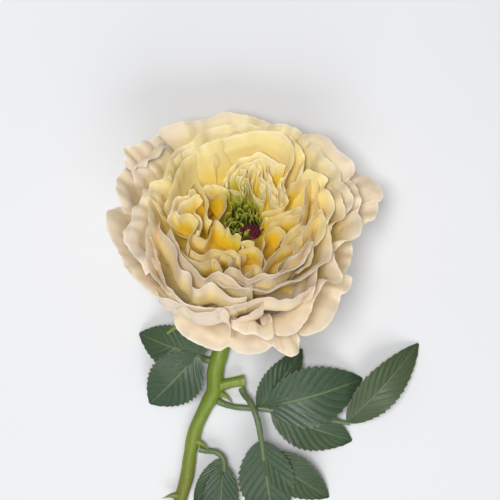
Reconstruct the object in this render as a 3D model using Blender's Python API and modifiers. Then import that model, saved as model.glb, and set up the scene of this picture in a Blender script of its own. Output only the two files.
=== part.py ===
# A peony-form garden rose: one cut bloom with its stem and leaves, lying on a surface.
#
# The bloom is built in its own frame, in millimetres: x to the right, y away from the
# stem, h along the bloom's axis, with h = 0 where the petals leave the stem. It is then
# leaned forward and laid down, on its lowest petals, its stem and its leaves, at z = 0.

import math
import random

import bpy
import bmesh
import numpy as np
from mathutils import Matrix, Vector

# Driving dimensions, in millimetres and degrees.
MM = 0.001
AXIS_LIFT = 45.0  # how far the bloom's axis rises above the surface
SEAT = (-9.95, 41.82, 24.5)  # the place in the world where the petals leave the stem
BLADE = 0.6  # thickness of a petal or a leaf
GAP = 0.35  # clearance between two pieces
FLOOR = 0.3  # a blade that meets the surface lies along it, its middle this high
LIFT = math.radians(AXIS_LIFT)

# Base colour and roughness of each kind of piece.
CREAM = ((0.78, 0.68, 0.5), 0.55)
YELLOW = ((0.78, 0.6, 0.16), 0.55)
LIME = ((0.17, 0.24, 0.02), 0.5)
BURGUNDY = ((0.11, 0.007, 0.03), 0.5)
SEPAL_GREEN = ((0.14, 0.21, 0.05), 0.5)
STEM_GREEN = ((0.16, 0.22, 0.03), 0.5)
LEAF_GREEN = ((0.035, 0.07, 0.035), 0.45)

# How a petal of each kind leaves the head of the stem: the radius and height of its
# root, the rise of its foot in degrees, and how finely it is divided along. Guard petals
# lie back, cup petals close round the heart, and fore petals are those of the heart that
# stand at its front and lean over it.
ROOTS = {
    "guard": (6.0, 0.5, 2.0, 3),
    "cup": (6.0, 3.0, 10.0, 3),
    "heart": (7.0, 8.0, 20.0, 2),
    "fore": (9.0, 8.0, 4.0, 2),
}
COLUMN = 10.5  # a petal is divided across into facets about this wide
LEAST_ACROSS, MOST_ACROSS = 3, 7  # and into this many at least and at most
ROOT_SPREAD = 0.12  # a petal's width at its root, as a share of its rim's
KNEE, NECK = 0.45, 0.4  # how far its foot and its top keep their slope, as a share of its reach

# Each petal: its kind, its lean from the bloom's axis below its margin in degrees (or the
# leans at the two ends of its rim), how far its margin turns over in degrees and how wide
# that margin is, how deep its rim ruffles in millimetres, and the points (x, y, h) that
# the rim runs through.
PETALS = {
    "guard_low_left": ("guard", 92, (25, 8), 0.6, [
        (-25, -28.5, 0), (-24.5, -32.5, 0), (-23.5, -35, -1), (-20.5, -38.5, -1), (-16.5, -40.5, -2),
        (-12.5, -42.5, -2), (-8.5, -43, -3), (-5, -42, -2), (-1.5, -44, -3), (2, -44.5, -3), (6, -44, -3),
        (9.5, -42, -3), (11.5, -40, -2)]),
    "guard_low": ("guard", 95, (25, 6), 0.6, [
        (7, -40, -2), (11, -42, -2), (13.5, -43.5, -3), (17, -45.5, -3), (19.5, -44.5, -3),
        (20.5, -42.5, -2), (20, -39.5, -1), (20, -37.5, -1)]),
    "guard_low_right": ("guard", 80, (25, 6), 0.5, [
        (19, -37, -1), (22, -38.5, 0), (26, -37.5, 0), (29.5, -36, 1), (32, -33, 2), (34, -29, 3),
        (35, -25.5, 3), (35.5, -23.5, 4), (37.5, -23, 5), (39, -21, 6), (39.5, -18.5, 8),
        (37, -17.5, 9)]),
    "guard_right": ("guard", 58, (20, 6), 0.4, [
        (39.5, 0.5, 10), (40, -4, 10), (40, -8, 10), (39.5, -12.5, 10), (37.5, -17, 11),
        (35.5, -20.5, 11)]),
    "guard_out_low": ("guard", 70, (30, 5), 0.4, [
        (47.5, 11.5, 17), (49, 10, 17), (50, 7.5, 17), (49.5, 4.5, 17), (48, 2, 16.5), (45.5, 1, 16),
        (43, -0.5, 15)]),
    "guard_out_high": ("guard", 66, (40, 6), 0.5, [
        (41.5, 26, 18), (44, 21.5, 19), (46.5, 20.5, 19), (48, 20, 19.5), (49.5, 16.5, 20), (51, 14, 20),
        (52, 12, 20), (51.5, 10, 19), (50, 9, 18), (49, 10.5, 17.5)]),
    "back_1": ("cup", 30, (35, 7), 0.7, [
        (-34.5, 28, 26), (-33.5, 30.5, 29), (-31, 33.5, 31), (-27, 35, 32), (-21.5, 36, 33),
        (-16, 37, 33), (-11.5, 38.5, 33), (-7, 40.5, 33), (-2.5, 39.5, 33), (2.5, 38.5, 33),
        (6, 38.5, 32), (8.5, 38, 31), (11, 37, 30), (12.5, 36.5, 26)]),
    "back_2": ("cup", 32, (35, 5), 0.5, [
        (7, 36.5, 27), (9, 36.5, 30), (12, 36, 31.5), (16, 35, 32), (20, 34, 31.5), (22, 34, 29),
        (22.5, 32.5, 25)]),
    "back_3": ("cup", 30, (45, 8), 0.6, [
        (20, 33, 25), (21.5, 33, 30), (25, 31, 32), (29, 30, 32), (32, 27.5, 32), (34.5, 23, 32),
        (38, 20, 31), (40.5, 17.5, 30), (41, 15.5, 28), (40.5, 14, 26), (39, 13.5, 24), (37, 16, 22)]),
    "back_4": ("cup", 26, (25, 6), 0.5, [
        (-28.5, 19, 26), (-27, 22.5, 28), (-24.5, 25.5, 29), (-21.5, 26.5, 30), (-19, 27.5, 31),
        (-18, 30, 31), (-15.5, 32.5, 31), (-11.5, 34, 31.5), (-6.5, 35, 32), (-1, 36, 32),
        (4, 35.5, 31.5), (8, 35, 30), (10.5, 34, 27)]),
    "back_5": ("cup", 24, (25, 5), 0.4, [
        (-24.5, 20, 26), (-23.5, 23, 27.5), (-22, 25, 28.5), (-19, 26, 29), (-16, 27, 29),
        (-14, 28, 29.5), (-11, 29, 30), (-7, 31, 30), (-2, 34, 30), (2.5, 34.5, 29), (5, 34.5, 26)]),
    "back_6": ("cup", 16, (25, 6), 0.3, [
        (-11.5, 22.5, 22), (-11.5, 24.5, 25), (-10.5, 27, 27.5), (-8.5, 29.5, 29), (-5, 31, 30),
        (-0.5, 32, 30.5), (4, 33, 31), (9, 32.5, 31.5), (13.5, 32, 31.5), (16.5, 29, 31),
        (18.5, 25.5, 30), (19, 21.5, 29), (18.5, 18, 27.5), (16.5, 16, 25.5), (14, 16.5, 23)]),
    "back_7": ("cup", 22, (30, 5), 0.4, [
        (15, 36, 29), (17.5, 31.5, 30), (20, 28, 30), (22, 24, 30), (22.5, 20.5, 29), (22.5, 17.5, 27.5),
        (21.5, 15.5, 25), (20, 15, 22)]),
    "back_8": ("cup", 24, (35, 6), 0.5, [
        (20.5, 28, 26), (22.5, 29, 29), (25.5, 28, 30.5), (28, 25, 31), (29.5, 21.5, 30.5),
        (31.5, 19, 30), (34, 17.5, 29.5), (35.5, 15, 28.5), (36, 12, 27), (35, 10.5, 25)]),
    "left_1": ("cup", 30, (45, 9), 0.5, [
        (-44.5, 5.5, 19), (-45, 6.5, 20), (-47.5, 3.5, 21), (-49.5, 0.5, 22), (-49.5, -2.5, 22),
        (-49, -6.5, 21.5), (-47, -10.5, 21), (-44.5, -15, 20.5), (-42, -20, 19.5), (-39.5, -23.5, 18.5),
        (-37, -27, 17.5), (-34, -29.5, 16.5), (-31, -32, 15), (-27.5, -32.5, 13)]),
    "left_2": ("cup", 32, (35, 7), 0.6, [
        (-42, 20.5, 25), (-43.5, 17, 27), (-45, 14, 28), (-46, 11, 28), (-46, 7.5, 28),
        (-45.5, 4.5, 27.5), (-44.5, 2, 26), (-43, -0.5, 23)]),
    "left_3": ("cup", 32, (35, 7), 0.6, [
        (-42, 15.5, 25), (-43, 17, 28), (-43.5, 20.5, 29.5), (-44, 24, 30.5), (-42.5, 24.5, 31.5),
        (-39.5, 24.5, 32), (-36.5, 26.5, 32.5), (-34, 28, 32), (-31.5, 30.5, 30)]),
    "left_4": ("cup", 28, (40, 6), 0.5, [
        (-36.5, 8, 26), (-39, 9.5, 27.5), (-40, 13, 28.5), (-40, 16, 29.5), (-37.5, 17, 30.5),
        (-35, 16.5, 31), (-33, 19, 31.5), (-30.5, 23, 31), (-28, 28, 29)]),
    "left_lip": ("cup", 28, (75, 7), 0.6, [
        (-36, 8, 26), (-36.5, 4, 26.5), (-38, 2, 26), (-39.5, 0.5, 25.5), (-40, -2.5, 25), (-40, -6, 25),
        (-41.5, -8.5, 24.5), (-42.5, -11, 24), (-42, -14.5, 23.5), (-40, -17.5, 23), (-38, -21, 22.5),
        (-35.5, -24, 22), (-34, -27, 20.5)]),
    "left_5": ("cup", 24, (30, 5), 0.6, [
        (-33.5, 3, 26.5), (-34, 6, 27.5), (-33.5, 8.5, 28.5), (-32, 9.5, 29.5), (-29.5, 10, 29.5),
        (-28.5, 13, 30), (-27.5, 18, 30.5), (-26, 22, 30), (-23.5, 26, 28.5)]),
    "left_6": ("cup", 16, (30, 5), 0.5, [
        (-33, 8, 26), (-34, 3, 26.5), (-34, -1, 26.5), (-34, -4.5, 26.5), (-33.5, -8, 26),
        (-34.5, -11, 26), (-34.5, -15, 25.5), (-34, -19.5, 25), (-33, -24.5, 24.5), (-31.5, -29, 24),
        (-29.5, -32.5, 23), (-27, -35, 21.5), (-23.5, -36.5, 19.5)]),
    "left_7": ("cup", 18, (22, 4), 0.5, [
        (-29, -2.5, 25), (-31, 1, 26), (-31.5, 4, 27), (-30, 8, 27.5), (-28, 11, 28.5), (-27, 15, 29),
        (-25.5, 19, 29), (-24.5, 22.5, 29), (-22, 26, 28)]),
    "left_8": ("cup", 15, (20, 4), 0.5, [
        (-25.5, -7.5, 24), (-27, -3.5, 25), (-28, 1, 26), (-26.5, 4.5, 27), (-26, 9.5, 27.5),
        (-25, 13.5, 28), (-23, 18, 28), (-20.5, 22, 28), (-17.5, 25.5, 27)]),
    "front_1": ("cup", 2, (14, 5), 0.3, [
        (-30.5, -30, 15), (-28.5, -34.5, 17.5), (-25.5, -36.5, 19), (-22.5, -38.5, 20),
        (-19, -40.5, 20.5), (-16, -42.5, 20.5), (-13, -43.5, 20.5), (-10, -43.5, 21), (-8.5, -43, 22),
        (-6.5, -42.5, 22), (-5, -43, 21), (-4.5, -44, 18.5), (-4.5, -44.5, 14)]),
    "front_2": ("cup", 18, (105, 9), 0.3, [
        (-6, -40, 12), (-4, -43, 12), (-2, -45, 12), (1, -46.5, 12), (4.5, -46.5, 12), (6.5, -47.5, 11.5),
        (8.5, -48, 11), (10.5, -47, 11), (11, -45, 11.5), (10.5, -43, 12)]),
    "front_3": ("cup", 28, (75, 17), 0.3, [
        (7, -43, 9), (10.5, -43.5, 9), (12.5, -45, 9), (15, -45, 9), (17.5, -44.5, 9.5), (20, -42.5, 10),
        (22.5, -39.5, 10.5), (24, -36.5, 11.5), (25, -33.5, 12.5), (26.5, -30, 13.5)]),
    "front_4": ("cup", 4, (14, 5), 0.3, [
        (-5, -40.5, 15), (-3.5, -42.5, 16), (-1, -42.5, 16.5), (1.5, -42.5, 17.5), (3.5, -41.5, 18.5),
        (5.5, -40.5, 20), (7.5, -39.5, 21)]),
    "front_5": ("cup", (-14, 2), (14, 5), 0.3, [
        (-33.5, -10, 24), (-32, -15.5, 24.5), (-30.5, -21.5, 25), (-29, -26.5, 25), (-27, -31, 24.5),
        (-24.5, -35, 23.5), (-22, -38.5, 23), (-19, -41, 22.5), (-15.5, -42, 22), (-12, -42.5, 22),
        (-8, -42.5, 22), (-4, -41.5, 22), (-1, -40.5, 22.5), (1.5, -39, 22.5)]),
    "front_6": ("cup", 6, (14, 5), 0.4, [
        (-4.5, -41, 20), (-1.5, -40.5, 22), (2, -40, 23), (6, -40, 23.5), (10, -39.5, 24),
        (13.5, -40, 24), (16.5, -40, 24), (19, -39, 24.5), (21.5, -37, 24.5), (24.5, -35, 24),
        (26, -31.5, 23.5)]),
    "front_7": ("cup", (-32, -4), (14, 5), 0.3, [
        (-29.5, -4.5, 23), (-28.5, -10, 24), (-25.5, -14.5, 25), (-23.5, -18, 25.5), (-22.5, -22, 26),
        (-22.5, -25.5, 26.5), (-21.5, -29.5, 26.5), (-19, -30.5, 26.5), (-17.5, -33.5, 26.5),
        (-17, -36.5, 26.5), (-15, -37.5, 26.5), (-13, -36, 26.5), (-11, -35, 27), (-9, -36, 27),
        (-7, -38, 26.5), (-4, -40, 25.5), (-1.5, -40.5, 25), (1.5, -40, 24.5)]),
    "front_8": ("cup", 14, (55, 5), 0.35, [
        (-9, -34, 25), (-6.5, -36, 25.5), (-3, -36.5, 25.5), (0, -37, 25.5), (4, -38, 25.5),
        (8, -38, 25.5), (11, -37, 25.5), (14, -36, 26), (17.5, -34.5, 26), (21, -33, 26),
        (23.5, -30.5, 25.5), (26, -27.5, 25)]),
    "front_9": ("cup", 10, (50, 4.5), 0.35, [
        (-1.5, -35, 26), (1.5, -36, 26.5), (4.5, -34.5, 27), (8, -33.5, 27), (11.5, -33, 27),
        (14.5, -31.5, 27), (17.5, -29.5, 27), (20, -27.5, 27), (22.5, -24, 27), (24.5, -20.5, 27),
        (25, -16, 26)]),
    "right_1": ("cup", 26, (60, 9), 0.4, [
        (39.5, 7.5, 18), (40.5, 4.5, 20), (42, 0.5, 21.5), (43, -3, 22), (43, -6.5, 22), (42, -9.5, 21.5),
        (39.5, -11, 20.5), (36.5, -11.5, 20), (34.5, -12.5, 19), (33, -14, 17.5)]),
    "right_2": ("cup", 28, (45, 6), 0.4, [
        (38.5, 15.5, 23), (40.5, 13, 25), (41.5, 10.5, 25), (42.5, 6.5, 25), (43, 4, 24.5),
        (42.5, 2, 23.5), (41.5, 1, 22), (39.5, 1.5, 20)]),
    "right_3": ("cup", 22, (55, 9), 0.4, [
        (31, -6.5, 22), (31.5, -11.5, 22.5), (32, -15.5, 22), (32.5, -19, 21.5), (33.5, -22, 20.5),
        (34.5, -24.5, 20), (35, -27, 19.5), (34, -29, 19.5), (32, -30, 19.5), (30, -29.5, 19.5),
        (28, -31, 19.5), (26.5, -33.5, 19), (25.5, -35.5, 19), (24.5, -37.5, 18)]),
    "right_4": ("cup", 24, (40, 6), 0.4, [
        (33.5, 15, 26), (35.5, 11.5, 27.5), (37.5, 8.5, 28), (39, 5.5, 28), (40, 2.5, 27), (39.5, 0, 26),
        (38, -1.5, 25), (36, -2.5, 23)]),
    "right_5": ("cup", 22, (35, 5), 0.5, [
        (33, 11.5, 26), (34.5, 7.5, 27), (36, 4, 27.5), (36.5, 0, 27), (36.5, -3.5, 26.5),
        (35, -5.5, 25.5), (33, -7.5, 24.5), (31.5, -9.5, 23)]),
    "right_6": ("cup", 16, (50, 7), 0.4, [
        (30, -5.5, 25), (31, -10.5, 25.5), (31.5, -15, 25), (31.5, -19.5, 24.5), (30.5, -23.5, 24),
        (28.5, -24.5, 23.5), (26.5, -26, 23.5), (26, -29, 23), (25.5, -32, 23), (25, -35, 22),
        (23.5, -37.5, 21), (21.5, -39, 20)]),
    "right_7": ("cup", 20, (35, 5), 0.5, [
        (22, 16, 26), (24, 16.5, 28), (26.5, 14.5, 28.5), (29, 13, 29), (31, 11, 28.5), (29.5, 9.5, 28),
        (29.5, 7, 28), (32, 5, 28), (32.5, 2, 28), (32.5, -2, 27.5), (32, -5.5, 27), (30.5, -8, 25.5)]),
    "right_8": ("cup", 10, (50, 6), 0.4, [
        (28.5, 0, 25), (29.5, -5.5, 26), (30, -10, 26), (29, -14, 26), (26.5, -16, 25.5), (25, -18, 25.5),
        (25, -22, 25), (24, -25.5, 25), (22, -27.5, 25), (19, -29.5, 25)]),
    "front_10": ("cup", (-34, -8), (14, 5), 0.3, [
        (-26, -9, 25), (-24.5, -14, 25.5), (-22.5, -18.5, 26), (-21, -22.5, 26.5), (-18.5, -26, 26.5),
        (-16.5, -29, 27), (-14.5, -32, 27), (-12.5, -33, 27), (-10, -31.5, 27), (-7.5, -30.5, 27),
        (-4.5, -33, 27), (-2, -35, 27), (0, -36.5, 26.5), (3.5, -35.5, 26.5)]),
    "front_11": ("cup", -12, (14, 5), 0.3, [
        (-7, -30, 26), (-4.5, -28.5, 26.5), (-2, -29.5, 26.5), (0, -32, 27), (2, -33.5, 27),
        (4.5, -32.5, 27), (7, -31.5, 27), (9.5, -32, 27), (12, -30, 27), (15, -27.5, 27.5),
        (17.5, -24.5, 27.5), (20, -22, 27.5), (22.5, -17.5, 27), (24.5, -12.5, 26.5)]),
    "guard_back_right": ("guard", 66, (30, 7), 1.2, [
        (38, 20, 12), (36, 30, 9), (26, 40, 7), (13, 44, 9), (5, 42, 13)]),
    "guard_back_left": ("guard", 66, (30, 7), 1.2, [
        (4, 42, 14), (-10, 44, 9), (-24, 41, 7), (-36, 31, 9), (-42, 20, 13)]),
    "guard_left": ("guard", 66, (30, 7), 1.2, [
        (-41, 22, 12), (-46, 10, 10), (-46, -4, 9), (-41, -17, 9), (-33, -25, 8)]),
    "top_1": ("heart", 15, (25, 2), 0.3, [
        (-6.5, 15.5, 20), (-6, 17.5, 24), (-3.5, 20.5, 26), (-0.5, 23, 27), (3, 24, 27), (6, 25, 28),
        (9.5, 23.5, 27), (12.5, 22, 26), (16, 21, 25)]),
    "top_2": ("heart", 10, (25, 2), 0.2, [
        (-7.5, 14, 19), (-7, 16.5, 22), (-5, 19, 24), (-2, 20, 24), (1, 20, 24), (0, 18.5, 23)]),
    "top_3": ("heart", 10, (25, 2), 0.2, [
        (-0.5, 11.5, 15), (-0.5, 14, 18), (-1.5, 16.5, 21), (0, 18.5, 23), (2, 20, 22), (2.5, 18, 19),
        (3.5, 16, 15)]),
    "top_4": ("heart", 10, (25, 2), 0.2, [
        (2, 14.5, 15), (2, 17, 20), (2.5, 20.5, 24), (4, 22, 25), (5.5, 20.5, 23), (6.5, 18, 19),
        (8, 14, 15)]),
    "top_5": ("heart", 10, (25, 2), 0.2, [
        (5.5, 22, 26), (7, 20.5, 24), (7.5, 18.5, 21), (9.5, 15.5, 19), (10.5, 11.5, 16)]),
    "top_6": ("heart", 10, (25, 2), 0.2, [
        (9, 22.5, 26), (10, 18.5, 24), (11, 15, 22), (13, 12.5, 20), (13, 8.5, 17)]),
    "top_7": ("heart", 12, (25, 2), 0.2, [
        (17, 18, 25), (15, 14.5, 24), (16, 10.5, 23), (16.5, 7.5, 22), (15, 6, 20), (12, 5.5, 18),
        (8.5, 6.5, 15)]),
    "side_3": ("fore", -20, (8, 3), 0.25, [
        (27.5, 12, 28), (26.5, 7.5, 28), (26, 3, 28), (26.5, -0.5, 27.5), (25.5, -4, 27),
        (23.5, -7, 26.5), (22, -10, 26), (20.5, -12, 25.5), (19, -14.5, 25), (17.5, -17.5, 24.5)]),
    "fold_1": ("fore", -30, (10, 2), 0.2, [
        (-14.5, 10.5, 24), (-13, 9.5, 23.5), (-11.5, 8.5, 23), (-10, 8.5, 22.5), (-8.5, 9.5, 22),
        (-7.5, 10, 21.5), (-6, 9, 21), (-6, 7, 20.5), (-6, 5, 20), (-7, 2.5, 20), (-8, 0.5, 20),
        (-8.5, -1, 20)]),
    "fold_2": ("fore", -28, (10, 2), 0.2, [
        (-19, 9, 26.5), (-18, 10.5, 26.5), (-16.5, 11.5, 26), (-15.5, 10.5, 25.5), (-14.5, 8.5, 25),
        (-13.5, 6.5, 24.5), (-12.5, 4.5, 24), (-12, 2.5, 23.5), (-13, 0.5, 23), (-13, -1, 22.5),
        (-12.5, -2.5, 22), (-11, -3, 21.5)]),
    "fold_3": ("fore", -28, (10, 2), 0.2, [
        (-16, 4.5, 26), (-15, 3, 25.5), (-15.5, 1.5, 25), (-16.5, 0.5, 24.5), (-17, -1.5, 24.5),
        (-16, -2.5, 24), (-15, -4, 23.5), (-14.5, -5.5, 23), (-14.5, -7.5, 22.5), (-15.5, -8.5, 22.5),
        (-16.5, -8, 22.5)]),
    "fold_4": ("heart", 14, (25, 2), 0.2, [
        (-24, -4.5, 26), (-24, -3, 26.5), (-23, -1, 26.5), (-22, 1, 27), (-20, 2.5, 27), (-18.5, 4, 27),
        (-16.5, 5, 27), (-16, 4.5, 26)]),
    "fold_5": ("fore", -24, (10, 2), 0.25, [
        (-24.5, -3, 26.5), (-22.5, -4, 26.5), (-20.5, -3.5, 26.5), (-18.5, -3.5, 26), (-17, -4.5, 25.5),
        (-16, -6, 25), (-16.5, -8, 25), (-17.5, -10, 24.5), (-18.5, -12.5, 24.5), (-19, -14.5, 24),
        (-19, -17, 24)]),
    "fold_6": ("heart", 20, (25, 2), 0.3, [
        (-26.5, -7, 25.5), (-26.5, -4, 26.5), (-25.5, -1, 27), (-25, 2, 27.5), (-23.5, 3.5, 27.5),
        (-21.5, 3.5, 27.5), (-20, 4.5, 27.5), (-19.5, 6.5, 27.5), (-18, 8, 27)]),
    "fold_7": ("heart", 8, (25, 2), 0.2, [
        (-15, 9.5, 25.5), (-13, 11, 25.5), (-11, 12, 24.5), (-9, 12.5, 23.5), (-6.5, 12.5, 22),
        (-5, 12.5, 20)]),
    "low_crown": ("fore", -18, (20, 2), 0.25, [
        (-19.5, -11.5, 21), (-18, -10, 21.5), (-15.5, -11, 21.5), (-13, -11, 21), (-12, -9, 21.5),
        (-11, -6, 21.5), (-10.5, -3, 21.5), (-9, -2.5, 21), (-7.5, -4, 20), (-6.5, -5.5, 19.5),
        (-5.5, -4, 19.5), (-4.5, -4.5, 19), (-3.5, -7, 18.5), (-2.5, -6, 18), (-1, -8, 17.5)]),
    "low_bowl": ("fore", -14, (20, 2), 0.25, [
        (-18.5, -17.5, 23), (-16, -19.5, 23), (-13.5, -19, 22.5), (-11, -17, 22), (-8.5, -16, 21.5),
        (-5.5, -16, 21), (-3.5, -16.5, 20.5), (-1, -17.5, 20), (1, -16, 20)]),
    "low_nest": ("fore", -12, (20, 2), 0.25, [
        (-22, -20, 25), (-19.5, -22.5, 25), (-17, -24, 25), (-14.5, -24.5, 24.5), (-12, -23, 24),
        (-10.5, -22, 23.5), (-8.5, -24, 23.5), (-7, -27.5, 24)]),
    "low_cup": ("fore", -10, (20, 2), 0.25, [
        (-1.5, -16, 20), (0, -14.5, 20), (2.5, -14, 20.5), (4.5, -15, 21), (6, -16.5, 21.5),
        (7.5, -19, 22), (8, -22.5, 22.5), (7.5, -26, 23.5), (7, -30, 24.5)]),
    "low_fan_1": ("fore", -8, (20, 2), 0.2, [
        (-10, -23.5, 23.5), (-9, -20, 22.5), (-7.5, -18.5, 22), (-5, -19, 22), (-4, -22, 22.5),
        (-4.5, -25, 23.5), (-3.5, -28.5, 24)]),
    "low_fan_3": ("fore", -6, (20, 2), 0.2, [
        (1, -31, 24.5), (2.5, -27.5, 24), (4.5, -25.5, 23.5), (6.5, -27, 24), (7, -30.5, 24.5)]),
    "side_fold": ("heart", 4, (25, 2), 0.2, [
        (7, -23, 23), (7, -16.5, 21.5), (7.5, -11.5, 20.5), (8.5, -8, 20.5), (10.5, -6, 21),
        (12.5, -5.5, 21.5), (14, -7, 22), (15.5, -9, 22.5), (15, -12, 23)]),
    "side_pocket": ("fore", -4, (20, 2), 0.25, [
        (7, -30.5, 24.5), (8, -25.5, 23.5), (9.5, -21.5, 23), (11.5, -19, 23), (13, -18, 23.5),
        (14.5, -16.5, 24), (17, -16, 25), (19, -15.5, 26), (21.5, -14.5, 27)]),
    "side_pleat": ("fore", -4, (20, 2), 0.25, [
        (11.5, -31, 25.5), (12.5, -27, 25), (14.5, -23.5, 24.5), (16.5, -21.5, 25), (19, -21, 26),
        (21.5, -19, 26.5), (23.5, -16, 27)]),
    "side_crest": ("heart", 10, (25, 2), 0.25, [
        (13.5, -12.5, 22), (16, -10.5, 23), (19, -9, 24.5), (21.5, -9, 25.5), (23.5, -8.5, 26.5),
        (25.5, -6, 27), (27.5, -2.5, 27)]),
    "side_wall": ("fore", -24, (8, 3), 0.25, [
        (24, 11.5, 27.5), (23, 8, 27.5), (22, 4, 27.5), (21.5, 0, 27), (21, -4, 26.5), (20, -7, 25.5),
        (18, -9, 25), (16, -10.5, 24), (14.5, -13, 23.5), (13.5, -15.5, 23)]),
    "side_plate": ("heart", 6, (25, 2), 0.2, [
        (25.5, 13, 27), (22.5, 13.5, 26.5), (20, 12.5, 26), (17, 11.5, 25.5), (16, 8, 24.5),
        (16.5, 5.5, 23.5), (15, 3.5, 21.5), (12, 4, 19.5), (9, 5.5, 17.5), (7, 5.5, 16)]),
    "side_tongue": ("heart", 6, (25, 2), 0.2, [
        (23, 1, 26.5), (20.5, 0, 25.5), (17, 0.5, 23.5), (14, 1, 21), (11, 1.5, 19), (8.5, 2, 17),
        (7, 0, 16)]),
}

# The hidden head of the stem that each layer of petals grows from: radius and height,
# from its top to its bottom.
OUTER_CORE = [(0, 5.3), (18, 7), (25, 12), (29, 12), (26, 5), (18, 0), (8, -2), (0, -2)]
INNER_CORE = [(0, 9), (7, 9), (11, 12), (14.5, 12), (14, 8), (10, 5.55), (0, 5.55)]

# The room that the heart of the bloom fills inside its cup, as level ovals: height,
# half width across, half width front to back, and how far the middle lies to the front.
ROOM = [
    (5.2, 11, 11, 0), (7, 15, 15.5, 0.5), (11, 18.5, 20, 1.5), (16, 22.5, 25, 3),
    (21, 25.5, 28.5, 4.2), (26, 26.5, 29.5, 4.2), (36, 28, 32, 4.2)]
ROOM_SIDES = 14

# The eye of the heart: where its middle is, and the room in it as radius and height.
EYE = (0.5, 3.5)
EYE_ROOM = [(0, 36), (12, 36), (8.6, 18), (7.0, 12), (6.2, 8.6), (0, 8.6)]
# The green button at the foot of the eye, and the crumpled petals that stand on it.
BUTTON = [(0, 10.5), (5.6, 10.5), (5.4, 8.95), (0, 8.95)]
PETALOID_COUNT = 9
PETALOID_FOOT = (3.4, 9.8)  # radius and height of its foot
PETALOID_REACH = 6.6  # radius of its rim
PETALOID_HEIGHT = 15.0  # height of its rim in the middle of the eye
PETALOID_SLOPE = (1.0, 3.0)  # how much wider and higher the rims are at the back
PETALOID_HALF_ANGLE = 26.0
# The knot of stigmas: where it stands, its radius, its core, and its round heads.
KNOT = (3.2, 1.2)
KNOT_RADIUS = 3.0
KNOT_SEAT = 10.52  # height of the bare spot on the button that it stands on
KNOT_CORE = [(0, 12.9), (1.6, 12.9), (2.5, 12.5), (2.2, 10.85), (0, 10.85)]
STIGMA_COUNT = 9
STIGMA_RADIUS = 0.95
STIGMA_HEIGHT = 12.7
STIGMA_TURN = math.tau * 2.4 / STIGMA_COUNT

# The hip under the bloom, from top to bottom, and its sepals: azimuth and length.
HIP_PROFILE = [
    (0, -2.35), (5.6, -2.35), (6.4, -3.8), (6.2, -6.5), (6.6, -10), (5.4, -14), (3.3, -17), (0, -17)]
SEPALS = [(228, 37), (286, 34), (358, 30), (75, 18), (150, 24)]
SEPAL_ROWS = 4
SEPAL_HALF, SEPAL_TIP_HALF = 3.2, 0.5
SEPAL_FOOT = (4.5, -5.0)  # radius and height of its foot
SEPAL_SAG, SEPAL_FALL = 4.0, 2.0  # how deep it hangs on its way, and how far its tip ends below
SEPAL_FOLD = 0.25  # how far its margins rise over its rib, as a share of half its width

# Places on the surface are measured from the point below the seat of the petals.
# The stem's route, from the bloom to its cut end: x, y, z and radius.
STEM_ROUTE = [
    (0, -12.3, 12.2, 3.1), (-0.3, -15.3, 9.3, 3.1), (-1.5, -20, 6, 3.2), (-4, -28, 3.7, 3.3),
    (-8, -39, 3.3, 3.3), (-11, -49, 3.3, 3.3), (-11.5, -57, 3.2, 3.2), (-15, -64, 2.8, 2.8),
    (-19, -73, 2.7, 2.7), (-21, -82, 2.7, 2.7), (-22.5, -92, 2.7, 2.7), (-25.5, -103, 2.7, 2.7),
    (-28.5, -118, 2.8, 2.8), (-30.5, -135, 2.9, 2.9)]
STEM_POINTS = 26
# The side stub that was cut off: x, y, z and radius.
STUB_ROUTE = [(-11.5, -56, 3.2, 2.5), (-7, -54.5, 3.6, 2.2), (-3, -53.5, 4, 2.1), (0.5, -53, 4, 2.5)]
STUB_POINTS = 6
# A prickle: how far down the stem, which way round in degrees, its length, its foot's radius.
PRICKLES = [
    (0.42, 180, 6, 1.6), (0.28, 20, 3.5, 1.5), (0.6, 160, 5, 1.7), (0.78, 20, 5, 1.7), (0.9, 170, 5, 1.7)]
PRICKLE_TIP = 0.15
PRICKLE_SIDES = 6
PRICKLE_HOOK = 0.3  # how far its tip leans down the stem, as a share of its length

# A leaf: the route of its stalk (x, y, z and radius), and its leaflets. A leaflet is its
# base, its tip, half its width, and how high its middle arches over the line between them.
LEAVES = {
    "leaf_right": (
        [(-10, -61.5, 2.9, 1.5), (-7.5, -62.6, 3.2, 1.3), (-2, -63.5, 5, 1.2), (10, -64, 6.5, 1.2),
         (26, -67, 6, 1.1), (42, -70, 4.5, 0.9)],
        [((9, -63, 6.6), (47, -53, 0.4), 12.5, 5), ((11, -65, 6.5), (43, -78, 0.4), 9.5, 3),
         ((41, -69.5, 4.6), (69, -39, 0.4), 8, 5), ((6, -63.8, 6), (23, -41, 1.4), 7, 4)]),
    "leaf_left": (
        [(-13.6, -45, 3.3, 1.5), (-15.3, -44.4, 4, 1.3), (-17, -43, 6.5, 1.2), (-18.5, -41.5, 8.5, 1.1)],
        [((-17.6, -41.8, 8.3), (-37, -63, 0.4), 11, 4), ((-17, -42, 8), (-41, -35, 0.4), 9, 4),
         ((-16.5, -42.5, 7.6), (-22, -22, 1.5), 6, 3)]),
    "leaf_low": (
        [(-0.6, -56.3, 4, 1.5), (0.4, -58.3, 5.5, 1.3), (3, -61, 9.5, 1.2), (5.5, -67, 12.5, 1.2),
         (7, -75, 13, 1.1), (8, -83, 12, 1)],
        [((6.8, -75, 13), (12, -111, 0.4), 11.5, 3), ((7.5, -80, 12.4), (34, -101, 0.4), 8.5, 3)]),
    "leaf_base": (
        [(-17.5, -80.7, 2.8, 1.5), (-15, -81.3, 3.2, 1.3), (-11, -81.5, 4.6, 1.2),
         (-8, -84, 5.5, 1.1), (-7.5, -89, 5.6, 1)],
        [((-8, -86, 5.6), (-10, -118, 0.4), 7.5, 2), ((-8.6, -84, 5.4), (-19.5, -104, 0.4), 4.5, 2)]),
}
STALK_POINTS = 7
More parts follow.
